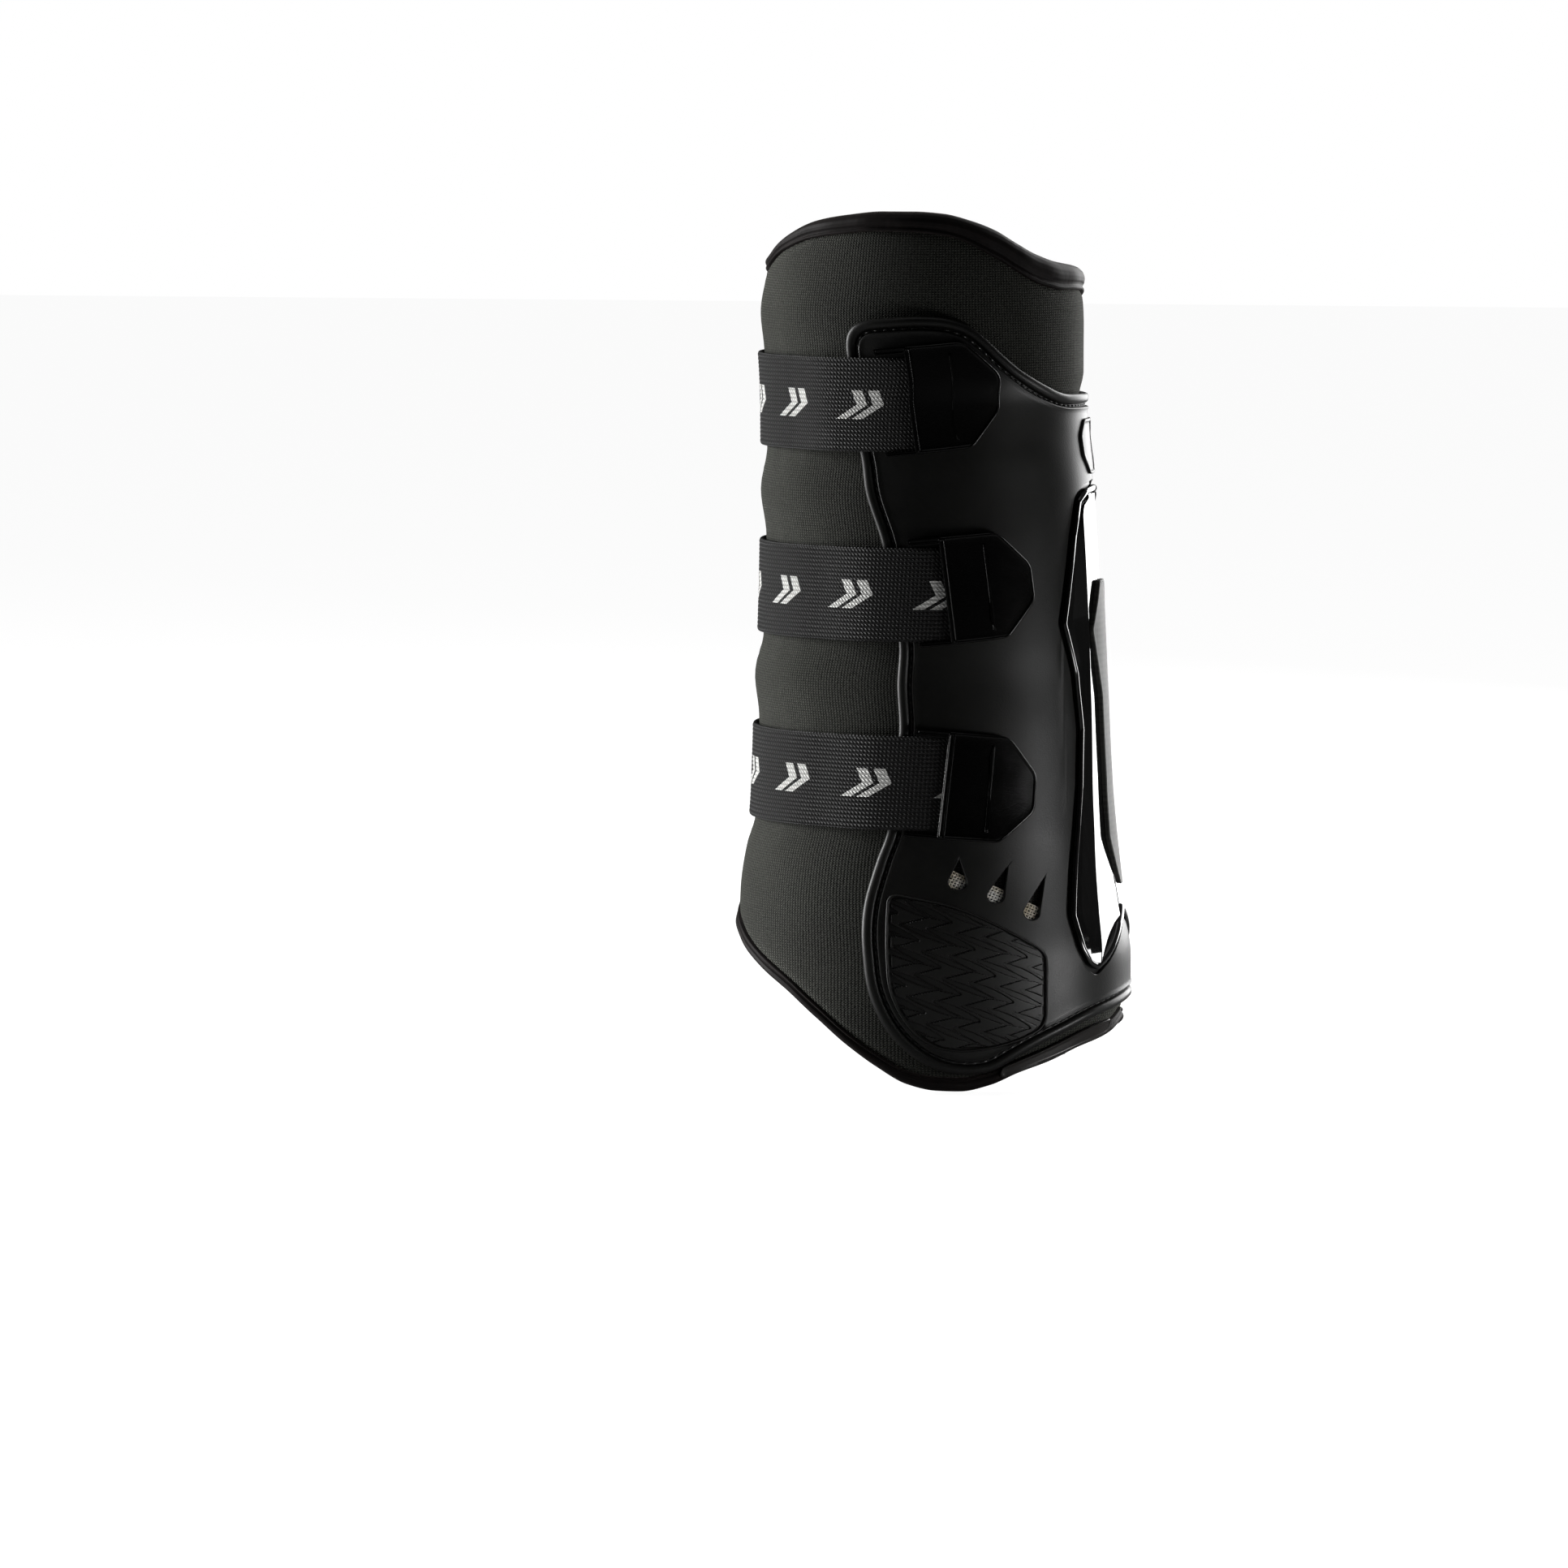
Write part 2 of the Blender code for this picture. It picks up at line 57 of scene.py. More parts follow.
wall = {
    "front": [(0, -62), (25, -64.2), (45, -64.2), (61, -63.6), (75, -61.5), (84.5, -58.7), (100.5, -57.8),
              (117, -57.4), (131, -59), (145, -56), (161, -55.5), (177, -55.2), (192, -57), (206, -54.9),
              (222, -55), (238, -55.8), (250, -57), (262, -55), (284, -50.5)],
    "back": [(0, 59.2), (15, 61.3), (25, 62.3), (40, 62.3), (58, 59), (70, 57), (82, 55.6), (98, 54.2),
             (140, 52.2),
             (178, 50.3), (200, 48.8), (212, 47.6), (222, 47.3), (231, 49), (245, 49), (262, 48),
             (284, 45.8)],
    "half": [(0, 48.5), (25, 50), (45, 49.5), (70, 47), (98, 44.5), (140, 42), (190, 41), (215, 41),
             (240, 42),
             (262, 42.5), (284, 41)],
    "narrowing": 0.08,
    "mmPerDegree": 0.9,  # along the outer side
}


# A curve through the keys that never overshoots: cubic pieces, each slope the harmonic mean of its
# two sides
def smoothCurve(keys):
    x, y = np.array(keys, float).T
    sides = np.diff(y) / np.diff(x)
    before, after = sides[:-1], sides[1:]
    same = before * after > 0
    slope = np.where(same, 2 * before * after / np.where(same, before + after, 1), 0)
    slope = np.array([sides[0], *slope, sides[-1]])

    def value(at):
        at = np.clip(np.asarray(at, float), x[0], x[-1])
        i = np.clip(np.searchsorted(x, at, side="right") - 1, 0, len(x) - 2)
        width = x[i + 1] - x[i]
        t = (at - x[i]) / width
        ends = y[i] * (1 + 2 * t) * (1 - t) ** 2 + y[i + 1] * t * t * (3 - 2 * t)
        return ends + width * (slope[i] * t * (1 - t) ** 2 - slope[i + 1] * t * t * (1 - t))

    return value


wallFront, wallBack, wallHalf = (smoothCurve(wall[part]) for part in ("front", "back", "half"))


# Egg-shaped section at each height, x = middle + reach cos, y = half sin (1 - narrowing cos), plus
# the offset along its horizontal normal
def onWall(angle, height, offset):
    turn, narrowing = np.radians(angle), wall["narrowing"]
    front, back, half = wallFront(height), wallBack(height), wallHalf(height)
    reach = (back - front) / 2
    x = (back + front) / 2 + reach * np.cos(turn)
    y = half * np.sin(turn) * (1 - narrowing * np.cos(turn))
    alongX = -reach * np.sin(turn)
    alongY = half * (np.cos(turn) - narrowing * np.cos(2 * turn))
    size = np.hypot(alongX, alongY)
    return np.stack([x + offset * alongY / size, y - offset * alongX / size, height + 0 * x], -1) / 1000


def easeIn(t):  # 0 to 1 with level ends
    t = np.clip(t, 0, 1)
    return t * t * (3 - 2 * t)


# Meshes are made from rows of rings. Each ring of the (rows, count, 3) array is joined to the next
# one; the first and the last ring are closed by strips that run straight across them
def ringFaces(rows, count):
    row = np.arange(rows - 1)[:, None] * count
    here = np.arange(count)
    after = np.roll(here, -1)
    walls = np.stack([row + here, row + after, row + count + after, row + count + here], -1).reshape(-1, 4)
    a = np.arange(count // 2 - 1)
    across = np.stack([a, a + 1, count - 2 - a, count - 1 - a], -1)
    return np.concatenate([walls, across[:, ::-1], across + (rows - 1) * count])


def addPiece(name, body, finish, parts, nodes=(), sharp=35):
    # parts: list of (points, faces, uv or None) that make one mesh
    points, faces, maps, first = [], [], [], 0
    for p, f, uv in parts:
        points.append(p.reshape(-1, 3))
        faces.append(f + first)
        maps.append(np.zeros((points[-1].shape[0], 2)) if uv is None else uv.reshape(-1, 2))
        first += len(points[-1])
    points, maps = np.concatenate(points), np.concatenate(maps)
    mesh = bpy.data.meshes.new(name)
    mesh.from_pydata(points.tolist(), [], [f for group in faces for f in group.tolist()])
    tidy = bmesh.new()
    tidy.from_mesh(mesh)
    bmesh.ops.recalc_face_normals(tidy, faces=tidy.faces)
    tidy.to_mesh(mesh)
    tidy.free()
    corner = np.empty(len(mesh.loops), np.int32)
    mesh.loops.foreach_get("vertex_index", corner)
    mesh.uv_layers.new(name="millimetres").data.foreach_set("uv", maps[corner].astype(np.float32).ravel())
    mesh.polygons.foreach_set("use_smooth", np.ones(len(mesh.polygons), bool))
    mesh.set_sharp_from_angle(angle=math.radians(sharp))
    mesh.materials.append(finish)
    piece = bpy.data.objects.new(name, mesh)
    bpy.context.scene.collection.objects.link(piece)
    if body:
        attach(piece, body)
    if nodes:
        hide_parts(*nodes)
    return piece


# Outline rings: every corner moves in along its mitre by each inset, then is rounded by a parabola
# that starts `rounding` along its sides. Corner = (across mm, up mm, rounding). Gives (insets,
# samples, 2)
def outlineRings(corners, insets, step):
    corners = np.array([(*c, 99)[:3] for c in corners], float)
    p, rounding = corners[:, :2], corners[:, 2]
    following = np.roll(p, -1, 0)
    if np.sum(p[:, 0] * following[:, 1] - following[:, 0] * p[:, 1]) < 0:
        p, rounding = p[::-1], rounding[::-1]
        following = np.roll(p, -1, 0)
    side = following - p
    way = side / np.linalg.norm(side, axis=1)[:, None]
    inward = np.stack([-way[:, 1], way[:, 0]], 1)
    before = np.roll(inward, 1, 0)
    mitre = (inward + before) / (1 + np.sum(inward * before, 1))[:, None]
    insets = np.asarray(insets, float)[:, None]
    moved = p + insets[..., None] * mitre
    size = np.linalg.norm(np.roll(moved, -1, 1) - moved, axis=2)
    bend = np.maximum(rounding - np.maximum(insets, 0), 0.4 * np.minimum(rounding, 6))
    bend = np.minimum(bend, 0.49 * np.minimum(size, np.roll(size, 1, 1)))
    start = moved - bend[..., None] * np.roll(way, 1, 0)
    end = moved + bend[..., None] * way
    bends = np.maximum(3, np.ceil(2 * bend[0] / step)).astype(int)
    straights = np.maximum(1, np.ceil((size[0] - bend[0] - np.roll(bend[0], -1)) / step)).astype(int)
    corner = np.repeat(np.arange(len(p)), bends + straights)
    share = np.concatenate([np.concatenate([np.arange(b) / b, 1 + np.arange(s) / s])
                            for b, s in zip(bends, straights)])
    if len(share) % 2:
        corner, share = corner[:-1], share[:-1]
    after = (corner + 1) % len(p)
    t, f = share[:, None], share[:, None] - 1
    curve = (1 - t) ** 2 * start[:, corner] + 2 * t * (1 - t) * moved[:, corner] + t * t * end[:, corner]
    line = end[:, corner] + (start[:, after] - end[:, corner]) * f
    rings = np.where(t < 1, curve, line)
    return np.roll(rings, -int(np.argmax(rings[0, :, 1])), 1)


# Points on the wall from places (across, up) in mm. Mirrored, they lie on the inner side.
def toWall(flat, offset, mirror):
    angle = flat[..., 0] / wall["mmPerDegree"]
    return onWall(360 - angle if mirror else angle, flat[..., 1], offset)


# A moulded sheet on the wall: rings run from the middle of its underside out to the rim, over the
# profile [(inset, offset), ...], and in again to the middle. `middle` is (across, low, high) of the
# line they close on. Gives (points, faces, uv), with the uv only if it is to be mapped.
def moulded(corners, profile, middle, step=1.5, spacing=4.0, mirror=False, mapped=False):
    insets, offsets = np.array(profile, float).T
    rings = outlineRings(corners, insets, step)
    last = rings[-1]
    low, high = last[:, 1].min(), last[:, 1].max()

    def inwards(ring, count):
        share = np.linspace(0, 0.985, count + 1)[1:, None, None]
        upright = middle[1] + (ring[:, 1] - low) / (high - low) * (middle[2] - middle[1])
        return ring + share * (np.stack([np.full(len(ring), middle[0]), upright], -1) - ring)

    count = max(3, math.ceil(np.ptp(last[:, 0]) / 2 / spacing))
    under, upper = inwards(rings[0], count)[::-1], inwards(last, count)
    flat = np.concatenate([under, rings, upper])
    offset = np.concatenate([np.full(len(under), offsets[0]), offsets, np.full(len(upper), offsets[-1])])
    offset = np.repeat(offset[:, None], flat.shape[1], 1)
    return toWall(flat, offset, mirror), ringFaces(*flat.shape[:2]), flat if mapped else None


def across(places):  # wall places (angle, height, ...) with the angle as millimetres
    return [(place[0] * wall["mmPerDegree"], *place[1:]) for place in places]


# Materials.
def linear(hexColour):
    values = [int(hexColour[i:i + 2], 16) / 255 for i in (1, 3, 5)]
    return (*[v / 12.92 if v <= 0.04045 else ((v + 0.055) / 1.055) ** 2.4 for v in values], 1)


# inputs: a dictionary, or the first ones in order. "Math.ADD" sets the operation, and a node stands
# for its first output. stops: (position, colour) of a colour ramp
def addNode(tree, kind, inputs=(), stops=(), **settings):
    kind, _, operation = kind.partition(".")
    made = tree.nodes.new("ShaderNode" + kind)
    if operation:
        made.operation = operation
    for key, value in settings.items():
        setattr(made, key, value)
    for key, value in (inputs.items() if isinstance(inputs, dict) else enumerate(inputs)):
        if isinstance(value, bpy.types.Node):
            value = value.outputs[0]
        if isinstance(value, bpy.types.NodeSocket):
            tree.links.new(value, made.inputs[key])
        else:
            made.inputs[key].default_value = value
    for i, (position, colour) in enumerate(stops):
        made.color_ramp.elements[i].position, made.color_ramp.elements[i].color = position, colour
    return made


def startMaterial(name, **values):
    made = bpy.data.materials.new(name)
    made.use_nodes = True
    tree = made.node_tree
    shader = tree.nodes["Principled BSDF"]
    for key, value in values.items():
        shader.inputs[key].default_value = value
    return made, tree, shader


def connect(shader, sources):
    for key, node in sources.items():
        socket = node.outputs[0] if isinstance(node, bpy.types.Node) else node
        shader.id_data.links.new(socket, shader.inputs[key])


# Nylon jersey laminated on neoprene, knitted: rows of small loops that catch side light, and a soft haze of
# fibres towards the edges. Loops are 1.0 mm wide and 0.8 mm high.
def makeNeopreneJersey():
    made, tree, shader = startMaterial("neopreneJersey", Roughness=0.86, IOR=1.45)
    shader.inputs["Sheen Weight"].default_value = 0.55
    shader.inputs["Sheen Roughness"].default_value = 0.3
    shader.inputs["Sheen Tint"].default_value = linear("#cfd0c6")
    shader.inputs["Specular IOR Level"].default_value = 0.2
    place = addNode(tree, "UVMap", uv_map="millimetres")
    xyz = addNode(tree, "SeparateXYZ", [place])
    wave = addNode(tree, "Math.SINE", [addNode(tree, "Math.MULTIPLY", [xyz.outputs[1], 2 * math.pi / 0.8])])
    leaned = addNode(tree, "Math.MULTIPLY_ADD", [wave, 0.16, xyz.outputs[0]])
    column = addNode(tree, "Math.SINE", [addNode(tree, "Math.MULTIPLY", [leaned, math.pi / 1.0])])
    column = addNode(tree, "Math.ABSOLUTE", [column])
    loops = addNode(tree, "Math.MULTIPLY", [column, addNode(tree, "Math.MULTIPLY_ADD", [wave, 0.35, 0.65])])
    cloud = addNode(tree, "TexNoise", {"Vector": place, "Scale": 0.05, "Detail": 3})
    fleck = addNode(tree, "TexNoise", {"Vector": place, "Scale": 1.1, "Detail": 2})
    mixed = addNode(tree, "Math.MULTIPLY_ADD", [fleck, 0.5, addNode(tree, "Math.MULTIPLY", [loops, 0.6])])
    mixed = addNode(tree, "Math.MULTIPLY_ADD", [cloud, 0.2, mixed])
    ramp = addNode(tree, "ValToRGB", [mixed], stops=[(0.32, linear("#131412")), (0.95, linear("#42433e"))])
    bump = addNode(tree, "Bump", {"Strength": 1.0, "Distance": 0.00045, "Height": mixed})
    connect(shader, {"Base Color": ramp, "Normal": bump})
    return made


# Perforated lining film on gel, moulded: dull black skin with a shallow pebble, pebbles 2.5 mm apart
def makeGelLining():
    made, tree, shader = startMaterial("gelLining", Roughness=0.62, IOR=1.47)
    place = addNode(tree, "UVMap", uv_map="millimetres")
    pebble = addNode(tree, "TexVoronoi", {"Vector": place, "Scale": 0.4})
    ramp = addNode(tree, "ValToRGB", [pebble], stops=[(0, linear("#232322")), (1, linear("#151515"))])
    bump = addNode(tree, "Bump", {"Strength": 0.5, "Distance": 0.0006, "Height": pebble}, invert=True)
    connect(shader, {"Base Color": ramp, "Normal": bump})
    return made


# Elastane binding tape, warp-knitted and folded over the edge: satin black with a faint brown warmth
# and lengthwise wales 0.7 mm apart
def makeBindingTape():
    made, tree, shader = startMaterial("elastaneBinding", Roughness=0.6, IOR=1.45)
    shader.inputs["Sheen Weight"].default_value = 0.08
    shader.inputs["Sheen Roughness"].default_value = 0.35
    shader.inputs["Sheen Tint"].default_value = linear("#b9aca8")
    shader.inputs["Specular IOR Level"].default_value = 0.16
    place = addNode(tree, "UVMap", uv_map="millimetres")
    xyz = addNode(tree, "SeparateXYZ", [place])
    wales = addNode(tree, "Math.SINE", [addNode(tree, "Math.MULTIPLY",
                                                [xyz.outputs[1], 2 * math.pi / 0.7])])
    cloud = addNode(tree, "TexNoise", {"Vector": place, "Scale": 0.35, "Detail": 4})
    height = addNode(tree, "Math.MULTIPLY_ADD", [wales, 0.2, cloud])
    ramp = addNode(tree, "ValToRGB", [cloud], stops=[(0.3, linear("#0c0909")), (0.8, linear("#181312"))])
    bump = addNode(tree, "Bump", {"Strength": 0.35, "Distance": 0.0003, "Height": height})
    connect(shader, {"Base Color": ramp, "Normal": bump})
    return made


# Thermoplastic polyurethane, injection moulded in a spark-eroded tool: fine 0.5 mm grain, even soft
# shine, and cloudy patches of handling
def makeRubber(name, dark, light, roughness, level, grain=2000):
    made, tree, shader = startMaterial(name, Roughness=roughness, IOR=1.5)
    shader.inputs["Specular IOR Level"].default_value = level
    place = addNode(tree, "TexCoord").outputs["Object"]
    fine = addNode(tree, "TexNoise", {"Vector": place, "Scale": grain, "Detail": 2})
    cloud = addNode(tree, "TexNoise", {"Vector": place, "Scale": 45, "Detail": 5, "Roughness": 0.6})
    ramp = addNode(tree, "ValToRGB", [cloud], stops=[(0.3, linear(dark)), (0.75, linear(light))])
    rough = addNode(tree, "MapRange", {0: cloud, 1: 0.3, 2: 0.7, 3: roughness - 0.04, 4: roughness + 0.05})
    bump = addNode(tree, "Bump", {"Strength": 0.18, "Distance": 0.0002, "Height": fine})
    connect(shader, {"Base Color": ramp, "Roughness": rough, "Normal": bump})
    return made


# Polycarbonate with a hard clear coat, polished tool: near black and mirror-like, with a few
# hair-fine scratches
def makeGloss():
    made, tree, shader = startMaterial("polishedPolycarbonate", Roughness=0.07, IOR=1.585)
    shader.inputs["Coat Weight"].default_value = 0.6
    shader.inputs["Coat Roughness"].default_value = 0.03
    place = addNode(tree, "TexCoord").outputs["Object"]
    stretched = addNode(tree, "Mapping", {0: place, 3: (900, 900, 60)})
    hair = addNode(tree, "TexNoise", {"Vector": stretched, "Scale": 1, "Detail": 3})
    ramp = addNode(tree, "ValToRGB", [hair], stops=[(0.4, linear("#050505")), (0.7, linear("#0b0b0b"))])
    rough = addNode(tree, "MapRange", {0: hair, 1: 0.5, 2: 0.8, 3: 0.05, 4: 0.12})
    connect(shader, {"Base Color": ramp, "Roughness": rough})
    return made


# Carbon-look inlay, printed film with a matt lacquer: grey twill squares of 1.4 mm
def makeCarbon():
    made, tree, shader = startMaterial("carbonTwillFilm", Roughness=0.6, IOR=1.5)
    place = addNode(tree, "UVMap", uv_map="millimetres")
    turned = addNode(tree, "Mapping", {0: place, 2: (0, 0, math.radians(45)), 3: (0.7, 0.7, 0.7)})
    squares = addNode(tree, "TexChecker", {"Vector": turned, "Scale": 1})
    threads = addNode(tree, "TexWave", {"Vector": turned, "Scale": 1.2, "Distortion": 0.3})
    mixed = addNode(tree, "Math.MULTIPLY_ADD", [threads.outputs[1], 0.4, 0.0])
    mixed = addNode(tree, "Math.MULTIPLY_ADD", [squares.outputs[1], 0.5, mixed])
    ramp = addNode(tree, "ValToRGB", [mixed], stops=[(0, linear("#262624")), (1, linear("#3c3c38"))])
    bump = addNode(tree, "Bump", {"Strength": 0.25, "Distance": 0.0002, "Height": mixed})
    connect(shader, {"Base Color": ramp, "Normal": bump})
    return made


# Woven polyester elastic: rows 1.33 mm high of slanted picks that glint on black, and double chevrons
# woven in white every 27 mm
def makeElastic():
    made, tree, shader = startMaterial("wovenElastic", Roughness=0.38, IOR=1.5)
    shader.inputs["Specular IOR Level"].default_value = 0.32
    xyz = addNode(tree, "SeparateXYZ", [addNode(tree, "UVMap", uv_map="millimetres")])
    x, y = xyz.outputs[0], xyz.outputs[1]
    row = addNode(tree, "Math.SINE", [addNode(tree, "Math.MULTIPLY", [y, math.pi / 1.33])])
    row = addNode(tree, "Math.ABSOLUTE", [row])
    slant = addNode(tree, "Math.MULTIPLY_ADD", [y, 0.8, x])
    pick = addNode(tree, "Math.SINE", [addNode(tree, "Math.MULTIPLY", [slant, 2 * math.pi / 1.15])])
    pick = addNode(tree, "Math.MULTIPLY_ADD", [pick, 0.4, 0.6])
    weave = addNode(tree, "Math.MULTIPLY", [row, pick])
    tall = addNode(tree, "Math.ABSOLUTE", [y])
    arrow = addNode(tree, "Math.MULTIPLY_ADD", [tall, 0.95, addNode(tree, "Math.MULTIPLY_ADD", [y, -0.55,
                                                                                                x])])
    cell = addNode(tree, "Math.FLOORED_MODULO", [arrow, 27.0])
    pair = [addNode(tree, "Math.COMPARE", [cell, middle, 1.7]) for middle in (12.9, 18.1)]
    short = addNode(tree, "Math.LESS_THAN", [tall, 4.6])
    mark = addNode(tree, "Math.MULTIPLY", [addNode(tree, "Math.MAXIMUM", pair), short])
    dark = addNode(tree, "ValToRGB", [weave], stops=[(0.25, linear("#010101")), (0.9, linear("#111110"))])
    white = addNode(tree, "ValToRGB", [weave], stops=[(0, linear("#a9a9a6")), (1, linear("#f6f6f3"))])
    colour = addNode(tree, "Mix", {0: mark, 6: dark, 7: white}, data_type="RGBA")
    rough = addNode(tree, "MapRange", {0: weave, 3: 0.75, 4: 0.3})
    bump = addNode(tree, "Bump", {"Strength": 1.0, "Distance": 0.0004, "Height": weave})
    connect(shader, {"Base Color": colour.outputs[2], "Roughness": rough, "Normal": bump})
    return made


# Hook and loop tape, brushed nylon: dull black fuzz with tufts 1.2 mm apart
def makeFastener():
    made, tree, shader = startMaterial("hookAndLoopTape", Roughness=0.95, IOR=1.45)
    shader.inputs["Sheen Weight"].default_value = 0.3
    place = addNode(tree, "TexCoord").outputs["Object"]
    tufts = addNode(tree, "TexVoronoi", {"Vector": place, "Scale": 830})
    ramp = addNode(tree, "ValToRGB", [tufts], stops=[(0, linear("#1c1c1b")), (1, linear("#050505"))])
    bump = addNode(tree, "Bump", {"Strength": 1.0, "Distance": 0.0008, "Height": tufts}, invert=True)
    connect(shader, {"Base Color": ramp, "Normal": bump})
    return made


# Stainless steel wire cloth, drawn and woven: bright wires with a warm tarnish in places
def makeSteelWire():
    made, tree, shader = startMaterial("stainlessWire", Roughness=0.35, Metallic=0.1)
    place = addNode(tree, "TexCoord").outputs["Object"]
    stain = addNode(tree, "TexNoise", {"Vector": place, "Scale": 160, "Detail": 2})
    ramp = addNode(tree, "ValToRGB", [stain], stops=[(0.4, linear("#f6f4ef")), (0.62, linear("#d8cdb8"))])
    connect(shader, {"Base Color": ramp})
    return made


neopreneJersey, gelLining, bindingTape = makeNeopreneJersey(), makeGelLining(), makeBindingTape()
guardRubber = makeRubber("mouldedPolyurethane", "#0a0a09", "#10100e", 0.4, 0.36)
tabRubber = makeRubber("smoothPolyurethane", "#010101", "#020202", 0.2, 0.3, grain=3000)
treadRubber = makeRubber("mouldedTreadPolyurethane", "#10100f", "#171715", 0.42, 0.4)
# Painted shade for the tread's grooves: a near-black, rough and barely shiny copy of the tread rubber, put on
# the deeply cut faces
grooveShadeRubber = makeRubber("paintedGrooveShadePolyurethane", "#010101", "#020202", 0.9, 0.05)
labelFilm = makeRubber("weldedLabelFilm", "#0d0907", "#16100c", 0.34, 0.5)
thread = makeRubber("bondedNylonThread", "#0b0b0b", "#1a1a19", 0.4, 0.5, grain=4000)
polishedPlastic, carbonFilm, wovenElastic = makeGloss(), makeCarbon(), makeElastic()
fastenerTape, steelWire = makeFastener(), makeSteelWire()
print("materials made")

# Sleeve: neoprene, gel lining and bindings, in an outer part fixed to the shell and an inner part.

sleeve = {
    "topRim": [(180, 266.5), (195, 269.2), (215, 276.6), (230, 280.7), (245, 282.6), (260, 283.7),
               (273, 283.7),
               (285, 283), (296, 280.8), (306, 277.8), (315, 273.8), (325, 270), (338, 267.3),
               (360, 265.5)],
    "hemRim": [(180, 51), (198, 45.2), (215, 38), (230, 31), (242, 22.8), (252, 14.8), (262, 7.6),
               (271, 2.4),
               (280, 0.3), (288, 0), (297, 1.8), (306, 5.4), (317, 8.6), (330, 12.6), (345, 15),
               (360, 18.4)],
    "topBinding": [(180, 3.6), (200, 3.9), (225, 5.4), (270, 6), (290, 6.8), (305, 9), (320, 9.6), (335, 9),
                   (348, 8), (360, 7.6)],
    "hemBinding": 4.6,
    "innerTopDrop": 11,
    "outerSpan": (181.0, 407.0),
    "innerSpan": (47.0, 174.2),
    "edgeBindings": {"outer": (178.2, 181.0), "inner": (174.2, 177.2)},
    "angleStep": 1.2,
    "rows": 90,
    "foldStart": 47.0,  # the inner side's fold lies between these two angles
    "foldEnd": 62.0,
}

topCurve, hemCurve = smoothCurve(sleeve["topRim"]), smoothCurve(sleeve["hemRim"])
bindingCurve = smoothCurve(sleeve["topBinding"])


def outerSide(angle):
    angle = np.mod(angle, 360)
    return np.where(angle < 180, 360 - angle, angle)


def topOf(angle):
    return topCurve(outerSide(angle)) - sleeve["innerTopDrop"] * np.clip(np.sin(np.radians(angle)), 0, 1)


def hemOf(angle):
    return hemCurve(outerSide(angle))


def underTop(angle):
    return topOf(angle) - bindingCurve(outerSide(angle))


def overHem(angle):
    return hemOf(angle) + sleeve["hemBinding"]


# A layer of the sleeve: at each angle a closed section, up its outer face and down its inner face.
# The outer face lies at `outer` plus a swell, and dips where it runs under a binding.
def sleeveLayer(span, low, high, outer, inner, dip, swell=None):
    count = int((span[1] - span[0]) / sleeve["angleStep"]) + 2
    angle = np.linspace(*span, count)[:, None]
    share = (1 - np.cos(np.linspace(0, math.pi, sleeve["rows"]))) / 2
    share = 0.25 * share + 0.75 * np.linspace(0, 1, sleeve["rows"])
    bottom, top = low(angle), high(angle)
    height = bottom + (top - bottom) * share
    edge = np.minimum(height - bottom, top - height)
    face = outer - dip * (1 - easeIn(edge / 2.6)) + 0 * height
    if swell:
        face = face + swell(angle, height) * easeIn(edge / 8)
    back = inner + 0.8 * (1 - easeIn(edge / 1.5))
    heights = np.concatenate([height, height[:, ::-1]], 1)
    offsets = np.concatenate([face, back[:, ::-1]], 1)
    angles = np.repeat(angle, heights.shape[1], 1)
    uv = np.stack([angles * wall["mmPerDegree"], heights], -1)
    return onWall(angles, heights, offsets), ringFaces(*heights.shape), uv


strapHeights = {"top": 222.0, "middle": 161.0, "bottom": 100.5}


# Soft unevenness of foam under a knitted face: broad waves under half a millimetre, and small puckers
# that fan out from the straps' edges where they squeeze the front
def jerseySwell(angle, height):
    broad = 0.10 * np.sin(np.radians(angle * 5.1) + height / 17) * np.sin(height / 11 + 1.3)
    pucker = 0
    for middle in strapHeights.values():
        near = np.abs(np.abs(height - middle) - 18)
        front = np.exp(-((angle - 205) / 38) ** 2)
        pucker = pucker + 0.08 * front * np.exp(-((near / 5) ** 2)) * np.sin(np.radians(angle * 31) + middle)
    return broad + pucker


# A binding section, as shares of the binding's height and offsets: out over the face, round the rim,
# and down inside
rollSection = {
    "up": [0.00, 0.01, 0.06, 0.13, 0.20, 0.26, 0.36, 0.50, 0.64, 0.78, 0.90, 0.97, 1.00, 1.00, 0.97, 0.90,
           0.78,
           0.60, 0.40, 0.20, 0.05, 0.00],
    "out": [-0.9, 0.0, 0.60, 0.60, 0.10, 0.05, 0.72, 1.05, 1.05, 0.62, -0.30, -1.5, -3.0, -5.2, -6.8, -7.9,
            -8.5,
            -8.8, -8.8, -8.6, -8.4, -7.6],
}


# The section is sampled finely and smoothed, then carried along the rim; `flip` hangs it below for the hem
def bindingRoll(span, rim, depth, flip):
    count = int((span[1] - span[0]) / sleeve["angleStep"]) + 2
    angle = np.linspace(*span, count)[:, None]
    keys = np.arange(len(rollSection["up"]))
    fine = np.linspace(0, len(keys) - 1, 64)
    up, out = np.interp(fine, keys, rollSection["up"]), np.interp(fine, keys, rollSection["out"])
    weights = np.array([1, 2, 3, 2, 1]) / 9
    up = np.convolve(np.pad(up, 2, mode="edge"), weights, "valid")
    out = np.convolve(np.pad(out, 2, mode="edge"), weights, "valid")
    tall = depth(angle)
    ripple = 0.10 * np.sin(np.radians(angle * 23)) * np.sin(np.pi * up) * (out > -3)
    height = rim(angle) - tall * (1 - up) if not flip else rim(angle) + tall * (1 - up)
    offset = out + ripple
    angles = np.repeat(angle, height.shape[1], 1)
    uv = np.stack([angles * wall["mmPerDegree"], np.repeat(fine[None] * 0.6, len(angle), 0)], -1)
    return onWall(angles, height, offset), ringFaces(*height.shape), uv
